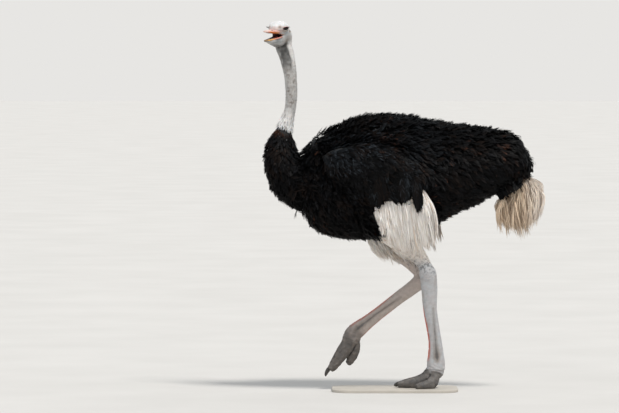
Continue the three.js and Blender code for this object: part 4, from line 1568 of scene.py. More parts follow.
def scattered(points, faces, spacing, seed, tries=5.0):
    """Random places on the surface, none closer to another than the spacing, a function of place, says."""
    rng = np.random.default_rng(seed)
    corners = points[triangles_of(faces)]
    area = np.linalg.norm(np.cross(corners[:, 1] - corners[:, 0], corners[:, 2] - corners[:, 0]), axis=1) / 2
    wanted = area * tries / spacing(corners.mean(axis=1)) ** 2
    chosen = np.repeat(np.arange(len(corners)), rng.poisson(wanted))
    rng.shuffle(chosen)
    a, b = rng.random((2, len(chosen), 1))
    a, b = np.where(a + b > 1, 1 - a, a), np.where(a + b > 1, 1 - b, b)
    c = corners[chosen]
    places = c[:, 0] + a * (c[:, 1] - c[:, 0]) + b * (c[:, 2] - c[:, 0])
    gaps = spacing(places)
    cell = gaps.max()
    keys = np.floor(places / cell).astype(int)
    near = {}
    kept = []
    steps = [(x, y, z) for x in (-1, 0, 1) for y in (-1, 0, 1) for z in (-1, 0, 1)]
    listed, gap_list = places.tolist(), (gaps**2).tolist()
    for i, (kx, ky, kz) in enumerate(keys.tolist()):
        px, py, pz = listed[i]
        free = True
        for dx, dy, dz in steps:
            for x, y, z in near.get((kx + dx, ky + dy, kz + dz), ()):
                if (x - px) ** 2 + (y - py) ** 2 + (z - pz) ** 2 < gap_list[i]:
                    free = False
                    break
            if not free:
                break
        if free:
            near.setdefault((kx, ky, kz), []).append((px, py, pz))
            kept.append(i)
    return places[kept]


# %% [markdown]
# ## One feather
# An ostrich's feathers are loose: their barbs carry no hooks, so each vane falls apart into soft pointed locks on
# both sides of a thin quill. A feather is drawn once in a unit square: y runs from root to tip, x to the sides. Some
# variants are drawn, and every feather on the bird is one of them, stretched, turned and laid on the body.

# %% The feather's pattern
LOCK_CORNERS = 7


class Pattern:
    """Variants of one feather: corner places (variant, corner, xyz) and the faces that all of them share."""

    quads = np.array([[0, 1, 3, 2], [2, 3, 5, 4]])  # of one lock, whose corners are three pairs and a tip
    tris = np.array([[4, 5, 6]])

    def __init__(self, seed, locks, width, spread, tip_spread, lock_length, curl, cup, variants=8):
        rng = np.random.default_rng(seed)
        drawn = [self.one(rng, locks, width, spread, tip_spread, lock_length, curl, cup) for _ in range(variants)]
        self.points = np.array(drawn)
        self.quads = repeated(self.quads, 2 * locks + 1, LOCK_CORNERS)
        self.tris = repeated(self.tris, 2 * locks + 1, LOCK_CORNERS)

    @staticmethod
    def one(rng, locks, width, spread, tip_spread, lock_length, curl, cup):
        """The corners of one variant: its locks from root to tip on both sides, then its quill."""
        blades = []
        for side in (-1, 1):
            for k in range(locks):
                share = (k + 0.5 + rng.uniform(-0.3, 0.3)) / locks
                root = 0.05 + 0.68 * share
                angle = math.radians(spread + (tip_spread - spread) * share + rng.normal(0, 5)) * side
                fuller = 0.75 + 0.5 * math.sin(math.pi * min(share + 0.15, 1))
                length = lock_length * fuller * rng.uniform(0.85, 1.15)
                length = min(length, 1.02 - root) if share > 0.6 else length
                thick = width * 0.22 * rng.uniform(0.8, 1.15)
                blades.append((root, angle, length, thick))
        blades.append((0.0, rng.normal(0, 0.03), 1.0, width * 0.16))
        points = []
        for root, angle, length, thick in blades:
            lift = rng.uniform(-0.5, 1.0) * curl
            for share, wide in ((0, 0.45), (0.36, 1.0), (0.72, 0.72)):
                a = angle * (1 - 0.55 * share)
                x, y = math.sin(a) * length * share, root + math.cos(a) * length * share
                nx, ny = math.cos(a) * thick * wide / 2, -math.sin(a) * thick * wide / 2
                z = lift * share
                points += [[x - nx, y - ny, z], [x + nx, y + ny, z]]
            a = angle * 0.4
            points.append([math.sin(a) * length, root + math.cos(a) * length, lift * 0.6])
        points = np.array(points)
        points[:, 2] -= cup * (points[:, 0] / width) ** 2 * 2
        return points


# %% [markdown]
# ## Laying feathers on the body
# A straight feather would stick out of a round body. So each one is bent over it: at five places along the feather
# the body's distance is measured, and the feather is moved to its own height above it, low at the root and high at
# the tip, where it lies on the feathers beneath. Tips that are lifted at random break the outline.

# %% Laying out a coat
TUFT_PATCH = 0.003  # the size of a tuft's patch on the map of the coat


def laid(field, pattern, roots, ways, lengths, widths, depth, lift, seed, untidy):
    """Corner places of all feathers: (feather, corner, xyz)."""
    rng = np.random.default_rng(seed)
    shape = pattern.points[rng.integers(len(pattern.points), size=len(roots))]
    out = slope_of(field, roots, 2.0)
    ways = unit(ways - dot(ways, out)[:, None] * out)
    turn = rng.normal(0, untidy, len(roots))[:, None]
    ways = ways * np.cos(turn) + np.cross(out, ways) * np.sin(turn)
    across = unit(np.cross(ways, out))
    stops = np.linspace(0, 1, 5)
    line = roots[:, None] + ways[:, None] * (lengths[:, None] * stops)[..., None]
    gap = field(line.reshape(-1, 3)).reshape(line.shape[:2])
    outs = slope_of(field, line.reshape(-1, 3), 2.0).reshape(line.shape)
    y = np.clip(shape[..., 1], 0, 1)
    i = np.minimum((y * 4).astype(int), 3)
    w = y * 4 - i
    row = np.arange(len(roots))[:, None]
    gap_at = gap[row, i] * (1 - w) + gap[row, i + 1] * w
    out_at = unit(outs[row, i] * (1 - w)[..., None] + outs[row, i + 1] * w[..., None])
    height = depth[:, None] * (0.1 + 0.9 * y**0.75) + lift[:, None] * y**2
    height = height + shape[..., 2] * widths[:, None] * 2
    points = roots[:, None] + ways[:, None] * (shape[..., 1] * lengths[:, None])[..., None]
    points = points + across[:, None] * (shape[..., 0] * widths[:, None] * 2)[..., None]
    return points + out_at * (height - gap_at)[..., None], shape


def add_tufts(name, points, faces, colours, material, slot, node, spots, inside):
    """Joins tufts of one pattern into a piece. On the map OFBake each is a small patch at its own spot."""
    count, corners = points.shape[:2]
    all_faces = [repeated(kind, count, corners) for kind in faces]
    made = add_piece(name, points.reshape(-1, 3), all_faces, material, slot, (node,), colours.reshape(-1, 3))
    places = np.clip(spots[:, None] + TUFT_PATCH * inside, 0, 1).reshape(-1, 2)
    layer = made.data.uv_layers.new(name="OFBake")
    index = np.empty(len(made.data.loops), np.int32)
    made.data.loops.foreach_get("vertex_index", index)
    layer.data.foreach_set("uv", places[index].astype(np.float32).ravel())


def spots_of(roots, unwrap):
    """Each root's place on the unwrap, which fills the map but for a thin margin."""
    spots = unwrap(roots)
    return 0.01 + 0.98 * (spots - spots.min(axis=0)) / np.maximum(np.ptp(spots, axis=0), 1e-9)


def add_coat(name, points, shape, pattern, roots, colours, material, slot, node, unwrap):
    """Joins laid feathers into one piece."""
    faces = (pattern.quads, pattern.tris)
    inside = np.clip(shape[..., :2], -0.5, 1) - [0, 0.5]
    add_tufts(name, points, faces, colours, material, slot, node, spots_of(roots, unwrap), inside)


def round_body(p):
    """The unwrap of the trunk: the turn round it, and the way along it."""
    middle = np.interp(p[:, 1], [-560, -300, 200, 690], [1060, 1090, 1150, 1190])
    return np.stack([np.arctan2(p[:, 0], p[:, 2] - middle), p[:, 1]], axis=1)


def round_neck(p):
    return np.stack([np.arctan2(p[:, 0], p[:, 1] + 610), p[:, 2]], axis=1)


# %% [markdown]
# ## The lie of the black coat
# Feathers point the way water runs off: down the neck, then back and down the flanks, level along the back, and
# straight down over the rump. One function gives the way for each place, another the size. Both change slowly, with
# a little noise, so the coat parts and gathers as a real one does.

# %% The way, the spacing and the size of black feathers


def way_of_coat(p, out):
    """The way feathers point at a place: for each region a way, mixed in by how far the place belongs to it."""
    back = ramp(p[:, 1], -520, -330)
    way = np.stack([np.zeros(len(p)), 0.35 + 0.75 * back, -1.15 + 0.55 * back], axis=1)
    top = ramp(out[:, 2], 0.45, 0.95)
    way[:, 2] += 0.5 * top
    rump = ramp(p[:, 1], 380, 620)
    way = mixed(way, [0.0, 0.45, -1.0], rump * 0.9)
    belly = ramp(out[:, 2], -0.3, -0.8)
    way = mixed(way, [0.0, 1.0, -0.15], belly * 0.8)
    on_wing = ramp(wing_share(p), 0.1, 0.9)
    way = mixed(way, [0.0, 0.75, -0.85], on_wing * 0.8)
    on_neck = ramp(p[:, 2], 1080, 1180) * ramp(p[:, 1], -470, -540)
    i = nearest(neck_coated.centre, p)
    way = mixed(way, neck_coated.ahead[i], on_neck)
    swirl = np.stack([noise(p, 70, seed) for seed in (31, 32, 33)], axis=1)
    return unit(way + 0.30 * swirl)


def wing_share(p):
    """1 on the wings, 0 on the rest of the body."""
    return ramp(trunk.distance(p) - wing.distance(to_left(p)), -34, 30)


def coat_size(p):
    """Length of the black feathers at a place."""
    neck = ramp(p[:, 2], 1130, 1330) * ramp(p[:, 1], -470, -540)
    size = 66 + 12 * ramp(p[:, 1], -300, 0) + 20 * ramp(p[:, 1], 350, 560)
    return size * (1 - neck) + (34 + 24 * ramp(p[:, 2], 1360, 1180)) * neck


def coat_gap(p):
    return 0.142 * coat_size(p) + 0.8


# %% [markdown]
# ## Where the black coat ends
# White plumes show in a gap of the black coat on each side, and again under the tail. If the feathers there were left
# out, smooth dark skin would show at the edge. So each feather grows in its place, and it is cut back until its tip
# lies within the edge. The edges are lines in y and z, as the gap is seen from the side.

# %% Edges of the black coat
WING_EDGE = [  # over the white plumes, from front to back: y, z
    (-185, 952), (-150, 950), (-121, 952), (-106, 976), (-80, 990), (-66, 1010), (-47, 1026), (-32, 1010),
    (-22, 984), (1.5, 972), (22, 988), (30, 1000), (42, 1010), (54, 998), (62, 950), (83, 930), (98, 950),
    (106, 1020), (112, 1030),
]
GAP_FRONT = [(780, -84), (820, -100), (860, -122), (900, -144), (940, -158), (960, -166)]  # z, y
TAIL_EDGE = [(478, 985), (555, 990), (580, 1038), (640, 1070), (680, 1092), (700, 1110)]  # y, z
STRIP = [  # white plumes behind the rearmost black feathers of the wing: z, the front and the rear edge in y
    (780, 60, 184), (902, 83, 166), (923, 100, 158), (952, 104, 152), (970, 104, 146), (1010, 98, 128),
    (1022, 93, 120), (1051, 78, 104), (1080, 66, 88),
]


def at_line(value, line):
    """Reads a line, given as rows of a place and a value, at other places."""
    return np.interp(value, *np.array(line).T)


def over_edges(tips):
    """Which feather tips end above the edges where white plumes show."""
    x, y, z = tips.T
    out = np.abs(x)
    in_gap = (y > at_line(z, GAP_FRONT)) & (y < 112) & (out > at_line(z, [(860, 90), (940, 150)])) & (z > 700)
    over_wing = z > at_line(y, WING_EDGE) - 6
    over_tail = z > at_line(y, TAIL_EDGE) - 12
    strip = np.array(STRIP)
    front, rear = at_line(z, strip[:, :2]) - 4, at_line(z, strip[:, [0, 2]]) + 4
    in_strip = between(z, 780, 1080) & between(y, front, rear) & (out > 150)
    return np.where(in_gap, over_wing, True) & np.where(y > 470, over_tail, True) & ~in_strip


def shortened(roots, ways, sizes):
    """Lengths cut back so that feathers end at the edges, and 0 where there is no room at all."""
    result = np.zeros(len(roots))
    for share in (0.4, 0.52, 0.64, 0.76, 0.88, 1.0):
        result = np.where(over_edges(roots + ways * (sizes * share)[:, None]), sizes * share, result)
    return result


COAT_STEP = 13.0
COLLAR = 1374  # no black feather grows above this height over the slanting collar
black_points, black_faces = surface_net(body_field, *BODY_BOX, COAT_STEP)
roots = scattered(black_points, black_faces, coat_gap, 51)
for _ in range(2):
    roots = roots - slope_of(body_field, roots, 3.0) * body_field(roots)[:, None]
under_collar = (roots[:, 2] < 1300) | (collar_height(roots) < COLLAR) | (roots[:, 1] > -500)
roots = roots[(np.abs(body_field(roots)) < 2) & under_collar]
out = slope_of(body_field, roots, 3.0)
uneven = np.random.default_rng(52).uniform(0.82, 1.18, len(roots))
sizes = coat_size(roots) * uneven * (1 - 0.35 * ramp(roots[:, 1], 610, 660))
sizes = shortened(roots, way_of_coat(roots, out), sizes)
roots, out, sizes = roots[sizes > 0], out[sizes > 0], sizes[sizes > 0]
print("black feathers:", len(roots))

# %% [markdown]
# ## Colours of the black coat
# The coat is black. A blue-grey sheen is painted on where light would strike it, most on the upper flank, where a few
# locks also get brighter painted glints; some feathers are faded to rust at the fringe. Each feather gets its own
# tone, its fringe is warmer than its middle, and rusty ones come in groups. The finish stays dull: a stronger gloss
# would turn black feathers grey.

# %% Black feathers
feather_look = grained(
    "black_feather", (240, 4), (1.0, 1.0, 0.5), (0.3, 0.7, 0.6), [(0.45, 0.45, 0.5)], (0.42, 0.62), (0.0006, 0.4),
    Specular_IOR_Level=0.07,
)
# a painted blue-grey sheen of light on the black coat
PAINTED_SHEEN = np.array([0.020, 0.024, 0.028])
BROWN_BLACK = np.array([0.011, 0.0065, 0.0045])


def black_colours(shape, roots, seed, rusty=1.0):
    """Colour of every corner: nearly black, a painted bluish sheen on some, a rusty fringe on others."""
    rng = np.random.default_rng(seed)
    count = len(roots)
    shade = np.exp(rng.normal(0, 0.6, count))
    sheen_share = ramp(noise(roots, 150, 41) + rng.normal(0, 0.35, count), 0.1, 1.0)
    colour = BLACK_COAT * shade[:, None]
    # Painted sheen: strongest on the upper flank, where light would strike.
    on_flank = bump(roots[:, 1], -190, 260) * bump(roots[:, 2], 1230, 190)
    colour = mixed(colour, PAINTED_SHEEN, sheen_share * (0.12 + 0.6 * on_flank))
    browner = ramp(noise(roots, 60, 43) + rng.normal(0, 0.4, count), 0.1, 1.1)
    colour = mixed(colour, BROWN_BLACK, browner * 0.7)
    rust = ramp(noise(roots, 90, 42) + rng.normal(0, 0.3, count), 0.8, 1.35) * rusty
    y, x = np.clip(shape[..., 1], 0, 1), np.abs(shape[..., 0])
    fringe = np.clip(ramp(y, 0.55, 1.0) * 0.7 + ramp(x, 0.12, 0.3) * 0.45, 0, 1)
    lock = np.repeat(rng.uniform(0, 1, (count, shape.shape[1] // LOCK_CORNERS)), LOCK_CORNERS, axis=1)
    lighter = (0.7 + 0.5 * y) * (0.6 + 0.9 * lock)
    colour = np.repeat(colour[:, None], shape.shape[1], axis=1) * lighter[..., None]
    # Painted glints: a few locks on the upper flank get a brighter painted sheen.
    glint = (lock > 0.84) * (on_flank * ramp(noise(roots, 70, 44), -0.2, 0.5))[:, None]
    colour = mixed(colour, PAINTED_SHEEN * 2.6, glint * 0.8)
    return mixed(colour, RUST * rng.uniform(0.6, 1.4, (count, 1, 1)), fringe * rust[:, None] * (lock > 0.35))


body_pattern = Pattern(61, locks=8, width=0.42, spread=44, tip_spread=16, lock_length=0.36, curl=0.17, cup=0.10)
rng = np.random.default_rng(62)
on_neck = (roots[:, 2] > 1120) & (roots[:, 1] < -500)
on_wing = (wing_share(roots) > 0.5) & ~on_neck
on_trunk, on_left = ~on_neck & ~on_wing, roots[:, 0] > 0
on_breast, on_rump = roots[:, 1] < -300, roots[:, 1] >= 330
on_flank = on_trunk & ~on_breast & ~on_rump
groups = {
    "neck_coat": (on_neck, "neck_lower"),
    "wing_coat_left": (on_wing & on_left, "wing_left"),
    "wing_coat_right": (on_wing & ~on_left, "wing_right"),
    "breast_coat": (on_trunk & on_breast, "trunk"),
    "flank_coat_left": (on_flank & on_left, "trunk"),
    "flank_coat_right": (on_flank & ~on_left, "trunk"),
    "rump_coat": (on_trunk & on_rump, "trunk"),
}
WIDEST = 322.0  # stray tips are held inside this, as the whole model has to fit its solids
STRAY = 14.0  # a feather whose tip stands off by more than its coat and this is dropped
NARROW = 0.46  # a feather's width beside its length
for number, (name, (chosen, node)) in enumerate(groups.items()):
    here, way_out, size = roots[chosen], out[chosen], sizes[chosen]
    winged = wing_share(here)
    depth = COAT_DEPTH["trunk"] * (1 - winged) + COAT_DEPTH["wing"] * winged
    if name == "neck_coat":
        depth = np.full(len(here), COAT_DEPTH["neck"])
    depth = depth * rng.uniform(0.7, 1.08, len(here)) * (1 + 0.6 * ramp(here[:, 1], 500, 640))
    if name == "neck_coat":
        depth = depth * (0.25 + 0.75 * ramp(here[:, 2], 1362, 1290))
    lift = np.abs(rng.normal(0, 0.07, len(here))).clip(0, 0.16) * size * (1 - 0.6 * winged)
    lift = lift * (1 + 0.9 * bump(here[:, 1], -440, 50) * ramp(way_out[:, 2], 0.4, 0.8))
    lift = lift + rng.uniform(0, 0.10, len(here)) * size * 4 * winged * (1 - winged)
    ways = way_of_coat(here, way_out)
    points, shape = laid(body_field, body_pattern, here, ways, size, size * NARROW, depth, lift, 70 + number, 0.4)
    points[..., 0] = np.clip(points[..., 0], -WIDEST, WIDEST)
    close = body_field(points[:, -1]) < depth * 1.1 + 0.1 * size + STRAY
    points, shape, here = points[close], shape[close], here[close]
    colours = black_colours(shape, here, 80 + number)
    unwrap = round_body
    if name == "neck_coat":
        unwrap = round_neck
        worn = ramp(here[:, 2], 1325, 1365)[:, None] * rng.uniform(0, 0.8, colours.shape[:2])
        colours = mixed(colours, RUST, worn)
    add_coat(name, points, shape, body_pattern, here, colours, feather_look, "black_feather", node, unwrap)

# %% [markdown]
# ## Loose plumes
# The white feathers under the wings and those of the tail are long and limp. Their barbs hang like fringes beside a
# soft quill. Each plume is a curve with many narrow locks: a lock leaves the quill at its own place, drifts to one
# side and ends in a point. Overlapping plumes then read as streaks, and their ends fray.

# %% Bundles of locks


def along_curves(curves, shares):
    """Places on sampled curves. Curves: (curve, sample, xyz). Shares: (curve, ...) from 0 to 1."""
    last = curves.shape[1] - 1
    at = np.clip(shares, 0, 1) * last
    i = np.minimum(at.astype(int), last - 1)
    w = (at - i)[..., None]
    row = np.arange(len(curves)).reshape((-1,) + (1,) * (shares.ndim - 1))
    return curves[row, i] * (1 - w) + curves[row, i + 1] * w


def plume_locks(curves, across, locks, spread, width, seed, steps=6, longest=0.55):
    """Corner places (plume, corner, xyz), the faces of one plume, and how far along its plume each corner is."""
    rng = np.random.default_rng(seed)
    count = len(curves)
    start = rng.uniform(-0.02, 0.74, (count, locks))
    start[:, 0] = 0
    long = rng.uniform(0.5, 1.0, (count, locks)) * longest
    end = np.minimum(start + long, rng.uniform(0.93, 1.0, (count, locks)))
    share = np.linspace(0, 1, steps + 1)
    t = start[..., None] + (end - start)[..., None] * share
    base = along_curves(curves, t)
    side = rng.choice([-1, 1], (count, locks, 1)) * rng.uniform(0.25, 1, (count, locks, 1))
    wave = 0.12 * np.sin(t * rng.uniform(5, 11, (count, locks, 1)) + rng.uniform(0, 6, (count, locks, 1)))
    drift = (side * share**0.8 + wave) * spread * (1.05 - 0.5 * t)
    ahead = unit(np.gradient(base, axis=2))
    sideways = unit(across[:, None, None] - dot(ahead, across[:, None, None])[..., None] * ahead)
    outwards = np.cross(sideways, ahead)
    thick = rng.normal(0, 0.28, (count, locks, 1)) * spread * share**0.7
    middle = base + sideways * drift[..., None] + outwards * thick[..., None]
    turn = rng.normal(0, 0.7, (count, locks, 1, 1))
    blade = sideways * np.cos(turn) + outwards * np.sin(turn)
    fullness = np.sin(math.pi * (0.10 + 0.88 * share) ** 0.75).clip(0.1)
    wide = width * rng.uniform(0.6, 1.3, (count, locks, 1)) * fullness
    left, right = middle - blade * wide[..., None] / 2, middle + blade * wide[..., None] / 2
    points = np.stack([left, right], axis=3)[:, :, :-1].reshape(count, locks, steps * 2, 3)
    points = np.concatenate([points, middle[:, :, -1:]], axis=2)
    s = np.arange(steps - 1) * 2
    quads = np.stack([s, s + 1, s + 3, s + 2], axis=1)
    tri = np.array([[2 * steps - 2, 2 * steps - 1, 2 * steps]])
    each = 2 * steps + 1
    along = np.concatenate([np.repeat(t[..., :-1], 2, axis=2), t[..., -1:]], axis=2).reshape(count, -1)
    faces = (repeated(quads, locks, each), repeated(tri, locks, each))
    return points.reshape(count, -1, 3), faces, along


def add_plumes(name, points, faces, along, colours, slot, node, roots):
    count, corners = points.shape[:2]
    inside = np.stack([np.tile(np.linspace(-0.5, 0.5, corners), (count, 1)), along - 0.5], axis=-1)
    add_tufts(name, points, faces, colours, plume_look, slot, node, spots_of(roots, round_body), inside)


def curves_through(stations, samples=36):
    """Smooth curves through control points: (curve, control, xyz) to (curve, sample, xyz)."""
    shares = np.linspace(0, 1, samples)
    return np.array([smooth_curve(rows, shares) for rows in stations])


# %% [markdown]
# ## White plumes under the wings
# They hang from beneath the folded wing and lie against the thigh. The line of their roots and the line of their tips
# say where each begins and ends; between them the plumes follow the thigh's outside. They are off-white with faint
# tan streaks, and they are lit through a little, as down is.

# %% Wing plumes
PLUME_PLACES = np.linspace(0, 1, 5)
PLUME_ROOTS = np.array([[-156, 985], [-94, 1030], [-40, 1066], [36, 1062], [74, 1096]])  # y, z
PLUME_BOW = [2, -6, -6, 0, 22]  # how far the middle of a plume stands back from a straight line
PLUME_TIPS = {
    "left": np.array([[-116, 812], [-36, 742], [34, 680], [108, 690], [184, 772]]),
    "right": np.array([[-150, 800], [-80, 730], [10, 672], [140, 690], [236, 752]]),
}
PLUME_OUT = [  # how far out the plumes hang: z, x
    (640, 150), (700, 162), (760, 188), (820, 214), (880, 232), (940, 243), (1000, 244), (1040, 232), (1120, 226),
]
WHITE_PLUME = np.array([0.92, 0.88, 0.835])
TAN_PLUME = np.array([0.55, 0.40, 0.28])
plume_look = grained(
    "pale_plume", (130, 5), (1.0, 1.0, 0.2), (0.35, 0.7, 0.35), [(0.92, 0.88, 0.84)], 0.85, (0.0008, 0.4),
    Specular_IOR_Level=0.2, Subsurface_Weight=0.15, Subsurface_Radius=(0.02, 0.016, 0.012), Sheen_Weight=0.15,
)


def spread_between(rows, shares):
    return np.stack([np.interp(shares, PLUME_PLACES, rows[:, k]) for k in range(rows.shape[1])], axis=1)


def wing_plume_curves(side, count, seed):
    rng = np.random.default_rng(seed)
    u = (np.arange(count) + rng.uniform(0, 1, count)) / count
    rng.shuffle(u)
    root = spread_between(PLUME_ROOTS, u) + rng.normal(0, 7, (count, 2))
    tip = spread_between(PLUME_TIPS[side], u) + rng.normal(0, 9, (count, 2))
    short = rng.uniform(0.5, 1.02, count) ** 0.6
    bow = np.interp(u, PLUME_PLACES, PLUME_BOW)
    tip = root + (tip - root) * short[:, None]
    layer = rng.uniform(-8, 8, count)
    sag = rng.normal(0, 5, count)
    stations = np.empty((count, 5, 3))
    for k, share in enumerate(np.linspace(0, 1, 5)):
        place = root + (tip - root) * share
        place[:, 0] += (sag + bow) * math.sin(math.pi * share)
        rear = ramp(u, 0.74, 0.94) * ramp(place[:, 1], 850, 960)
        out = at_line(place[:, 1], PLUME_OUT) + layer - 4 * (1 - share) + 20 * rear
        stations[:, k] = np.stack([out, place[:, 0], place[:, 1]], axis=1)
    if side == "right":
        stations = stations * MIRROR
    return curves_through(stations)


def plume_colours(along, locks, light, tan, tan_share, seed, tip_tan):
    """A colour for each corner: each lock has its own tint, and tips are warmer."""
    rng = np.random.default_rng(seed)
    count, corners = along.shape
    tint = np.repeat(ramp(rng.random((count, locks)), 1 - tan_share, 1.0), corners // locks, axis=1)
    tint = np.clip(tint + tip_tan * ramp(along, 0.72, 1.0), 0, 1)
    shade = np.repeat(rng.uniform(0.86, 1.08, (count, locks)), corners // locks, axis=1)
    return mixed(np.tile(light, (count, corners, 1)), tan, 0.7 * tint) * shade[..., None]


WING_PLUMES, WING_LOCKS = 175, 34  # how many on each side, and the locks of each
for side, seed in (("left", 91), ("right", 92)):
    curves = wing_plume_curves(side, WING_PLUMES, seed)
    across = np.tile([0.0, 1.0, 0.0], (len(curves), 1))
    points, faces, along = plume_locks(curves, across, WING_LOCKS, 14, 6.6, seed + 10)
    # The far side's plumes get more tan: partly stains, partly painted shade.
    tan_share = 0.10 if side == "left" else 0.4
    colours = plume_colours(along, WING_LOCKS, WHITE_PLUME, TAN_PLUME, tan_share, seed + 20, tip_tan=0.22)
    name, node = f"wing_plumes_coat_{side}", f"wing_plumes_{side}"
    add_plumes(name, points, faces, along, colours, "white_plume", node, curves[:, 0])

# %% [markdown]
# A few loose wisps hang in front of the right thigh, from the belly's edge. They are what shows of the far side.

# %% Wisps before the right thigh
WISPS, WISP_LOCKS = 110, 15
FOREMOST_WISP = np.array([[-170, 850], [-174, 792], [-150, 730], [-100, 662]])  # y, z of four stops
REARMOST_WISP = np.array([[-30, 812], [0, 752], [42, 700], [84, 642]])
rng = np.random.default_rng(88)
u = rng.random((WISPS, 1, 1)) ** 1.4
stops = FOREMOST_WISP * (1 - u) + REARMOST_WISP * u + rng.normal(0, 8, (WISPS, 4, 2))
stops[:, 3] = stops[:, 2] + (stops[:, 3] - stops[:, 2]) * rng.uniform(0.1, 1.1, (WISPS, 1))
wisp_out = np.repeat(rng.uniform(-178, -24, WISPS), 4).reshape(WISPS, 4, 1)
curves = curves_through(np.concatenate([wisp_out, stops], axis=2))
across = np.tile([0.0, 0.8, 0.6], (WISPS, 1))
points, faces, along = plume_locks(curves, across, WISP_LOCKS, 13, 3.6, 89)
# The far side's wisps get more tan: partly stains, partly painted shade.
colours = plume_colours(along, WISP_LOCKS, WHITE_PLUME, TAN_PLUME, 0.25, 90, tip_tan=0.3)
add_plumes("thigh_wisps", points, faces, along, colours, "white_plume", "wing_plumes_right", curves[:, 0])

# %% [markdown]
# ## Large black wing feathers
# The lower edge of the folded wing ends in a few large rounded feathers that hang over the white plumes. They are
# drawn with the same pattern as the coat, only larger and with more locks, and several lie on each other.

# %% Wing tips
LOBES = [
    # tip y, tip z, length, half-width, lean
    [-158, 949, 110, 11, 0.05],
    [-138, 947, 130, 12, 0.10],
    [-121, 935, 150, 12, 0.14],
    [-104, 966, 140, 11, 0.14],
    [-88, 984, 130, 9, 0.14],
    [-16, 974, 150, 12, 0.08],
    [-2, 957, 180, 15, 0.06],
    [12, 962, 180, 13, 0.04],
    [68, 930, 160, 11, 0.10],
    [80, 900, 180, 15, 0.12],
    [92, 916, 170, 12, 0.14],
]
LOBE_OUT = 264.0
LOBE_LAYERS = 5  # as many feathers lie on each other at each place
lobe_pattern = Pattern(93, locks=15, width=0.16, spread=40, tip_spread=30, lock_length=0.24, curl=0.02, cup=0.06)


def lobe_coat(side, seed):
    rng = np.random.default_rng(seed)
    rows = np.repeat(np.array(LOBES), LOBE_LAYERS, axis=0)
    rows = rows + rng.normal(0, 1, rows.shape) * [4, 5, 8, 1.5, 0.03]
    rows[:, 1] += rng.exponential(8, len(rows))
    way = unit(np.stack([np.zeros(len(rows)), rows[:, 4], -np.ones(len(rows))], axis=1))
    tips = np.stack([LOBE_OUT + rng.uniform(-6, 7, len(rows)), rows[:, 0], rows[:, 1]], axis=1)
    roots = tips - way * rows[:, 2:3]
    roots[:, 0] += rng.uniform(14, 24, len(rows))
    ways = unit(tips - roots)
    shape = lobe_pattern.points[rng.integers(len(lobe_pattern.points), size=len(rows))]
    across = np.tile([0.0, 1.0, 0.0], (len(rows), 1))
    across = unit(across - dot(across, ways)[:, None] * ways)
    out = np.cross(across, ways)
    out = out * np.sign(out[:, :1])
    points = roots[:, None] + ways[:, None] * (shape[..., 1] * rows[:, 2:3])[..., None]
    points = points + across[:, None] * (shape[..., 0] * rows[:, 3:4] / 0.085)[..., None]
    bow = np.sin(math.pi * np.clip(shape[..., 1], 0, 1)) * 12
    points = points + out[:, None] * (shape[..., 2] * rows[:, 3:4] * 5 + bow)[..., None]
    if side == "right":
        points, roots = points * MIRROR, roots * MIRROR
    return points, shape, roots


for side, seed in (("left", 94), ("right", 95)):
    points, shape, lobe_roots = lobe_coat(side, seed)
    colours = black_colours(shape, lobe_roots, seed + 5, rusty=0.3)
    name, node = f"wing_tips_{side}", f"wing_{side}"
    add_coat(name, points, shape, lobe_pattern, lobe_roots, colours, feather_look, "black_feather", node, round_body)

# %% [markdown]
# ## The tail
# A male's tail is a drooping bunch of worn plumes, cream and brown. They rise from under the black coat, arch over
# and hang, and their ends curl inwards. The foremost are short and brown, the rearmost pale.

# %% Tail plumes
TAIL_PLACES = np.array([0, 0.5, 1.0])
TAIL_CURVES = np.array(
    [
        [[556, 1062], [526, 1000], [497, 930], [516, 836]],
        [[612, 1092], [602, 1020], [598, 940], [625, 782]],
        [[650, 1118], [718, 1055], [740, 985], [706, 850]],
    ]
)  # y, z of four stops on the foremost, the middle and the rearmost plume
TAIL_WIDTHS = (44, 66, 84, 88)  # half the bunch's width at the four stops
TAIL_PLUMES, TAIL_LOCKS = 150, 32
CREAM_PLUME = np.array([0.74, 0.60, 0.45])
BROWN_PLUME = np.array([0.16, 0.080, 0.042])


def tail_curves(count, seed):
    rng = np.random.default_rng(seed)
    u = (np.arange(count) + rng.uniform(0, 1, count)) / count
    x = rng.uniform(-1, 1, count)
    stations = np.empty((count, 4, 3))
    for k in range(4):
        y, z = (np.interp(u, TAIL_PLACES, TAIL_CURVES[:, k, axis]) for axis in (0, 1))
        fall = rng.normal(0, 4 + 6 * k, count)
        out = x * TAIL_WIDTHS[k] * (1 - 0.25 * u) + rng.normal(0, 5, count)
        back = y + rng.normal(0, 5 + 2 * k, count)
        stations[:, k] = np.stack([out, back, z + fall], axis=1)
    stations[:, 3] = stations[:, 2] + (stations[:, 3] - stations[:, 2]) * rng.uniform(0.35, 1.0, (count, 1))
    return curves_through(stations), u


curves, u = tail_curves(TAIL_PLUMES, 96)
across = np.tile(unit(np.array([0.45, 1, 0])), (TAIL_PLUMES, 1))
points, faces, along = plume_locks(curves, across, TAIL_LOCKS, 19, 4.2, 97, longest=0.5)
colours = plume_colours(along, TAIL_LOCKS, CREAM_PLUME, BROWN_PLUME, 0.62, 98, tip_tan=0.25)
paler = np.repeat((ramp(u, 0.55, 1.0) * 0.55)[:, None], colours.shape[1], axis=1)
colours = mixed(colours, WHITE_PLUME, paler)
colours = mixed(colours, BROWN_PLUME * 0.6, ramp(along, 0.22, 0.02) * 0.85)
add_plumes("tail_coat", points, faces, along, colours, "tail_plume", "tail", curves[:, 0])

# %% [markdown]
# ## Down and bristles
# The head and the neck aren't naked: short bristly down covers them, longer towards the nape, and a ruff of white
# down closes the neck above the black coat. The thighs carry soft pale down that lies along the leg. Every hair is a
# flat blade of three segments. A blade that starts in the skin and leans with the lie of the down breaks the outline.

# %% Blades


BLADE_SHAPE = np.array([[-0.5, 0], [0.5, 0], [-0.5, 0.4], [0.5, 0.4], [-0.5, 0.75], [0.5, 0.75], [0, 1]])


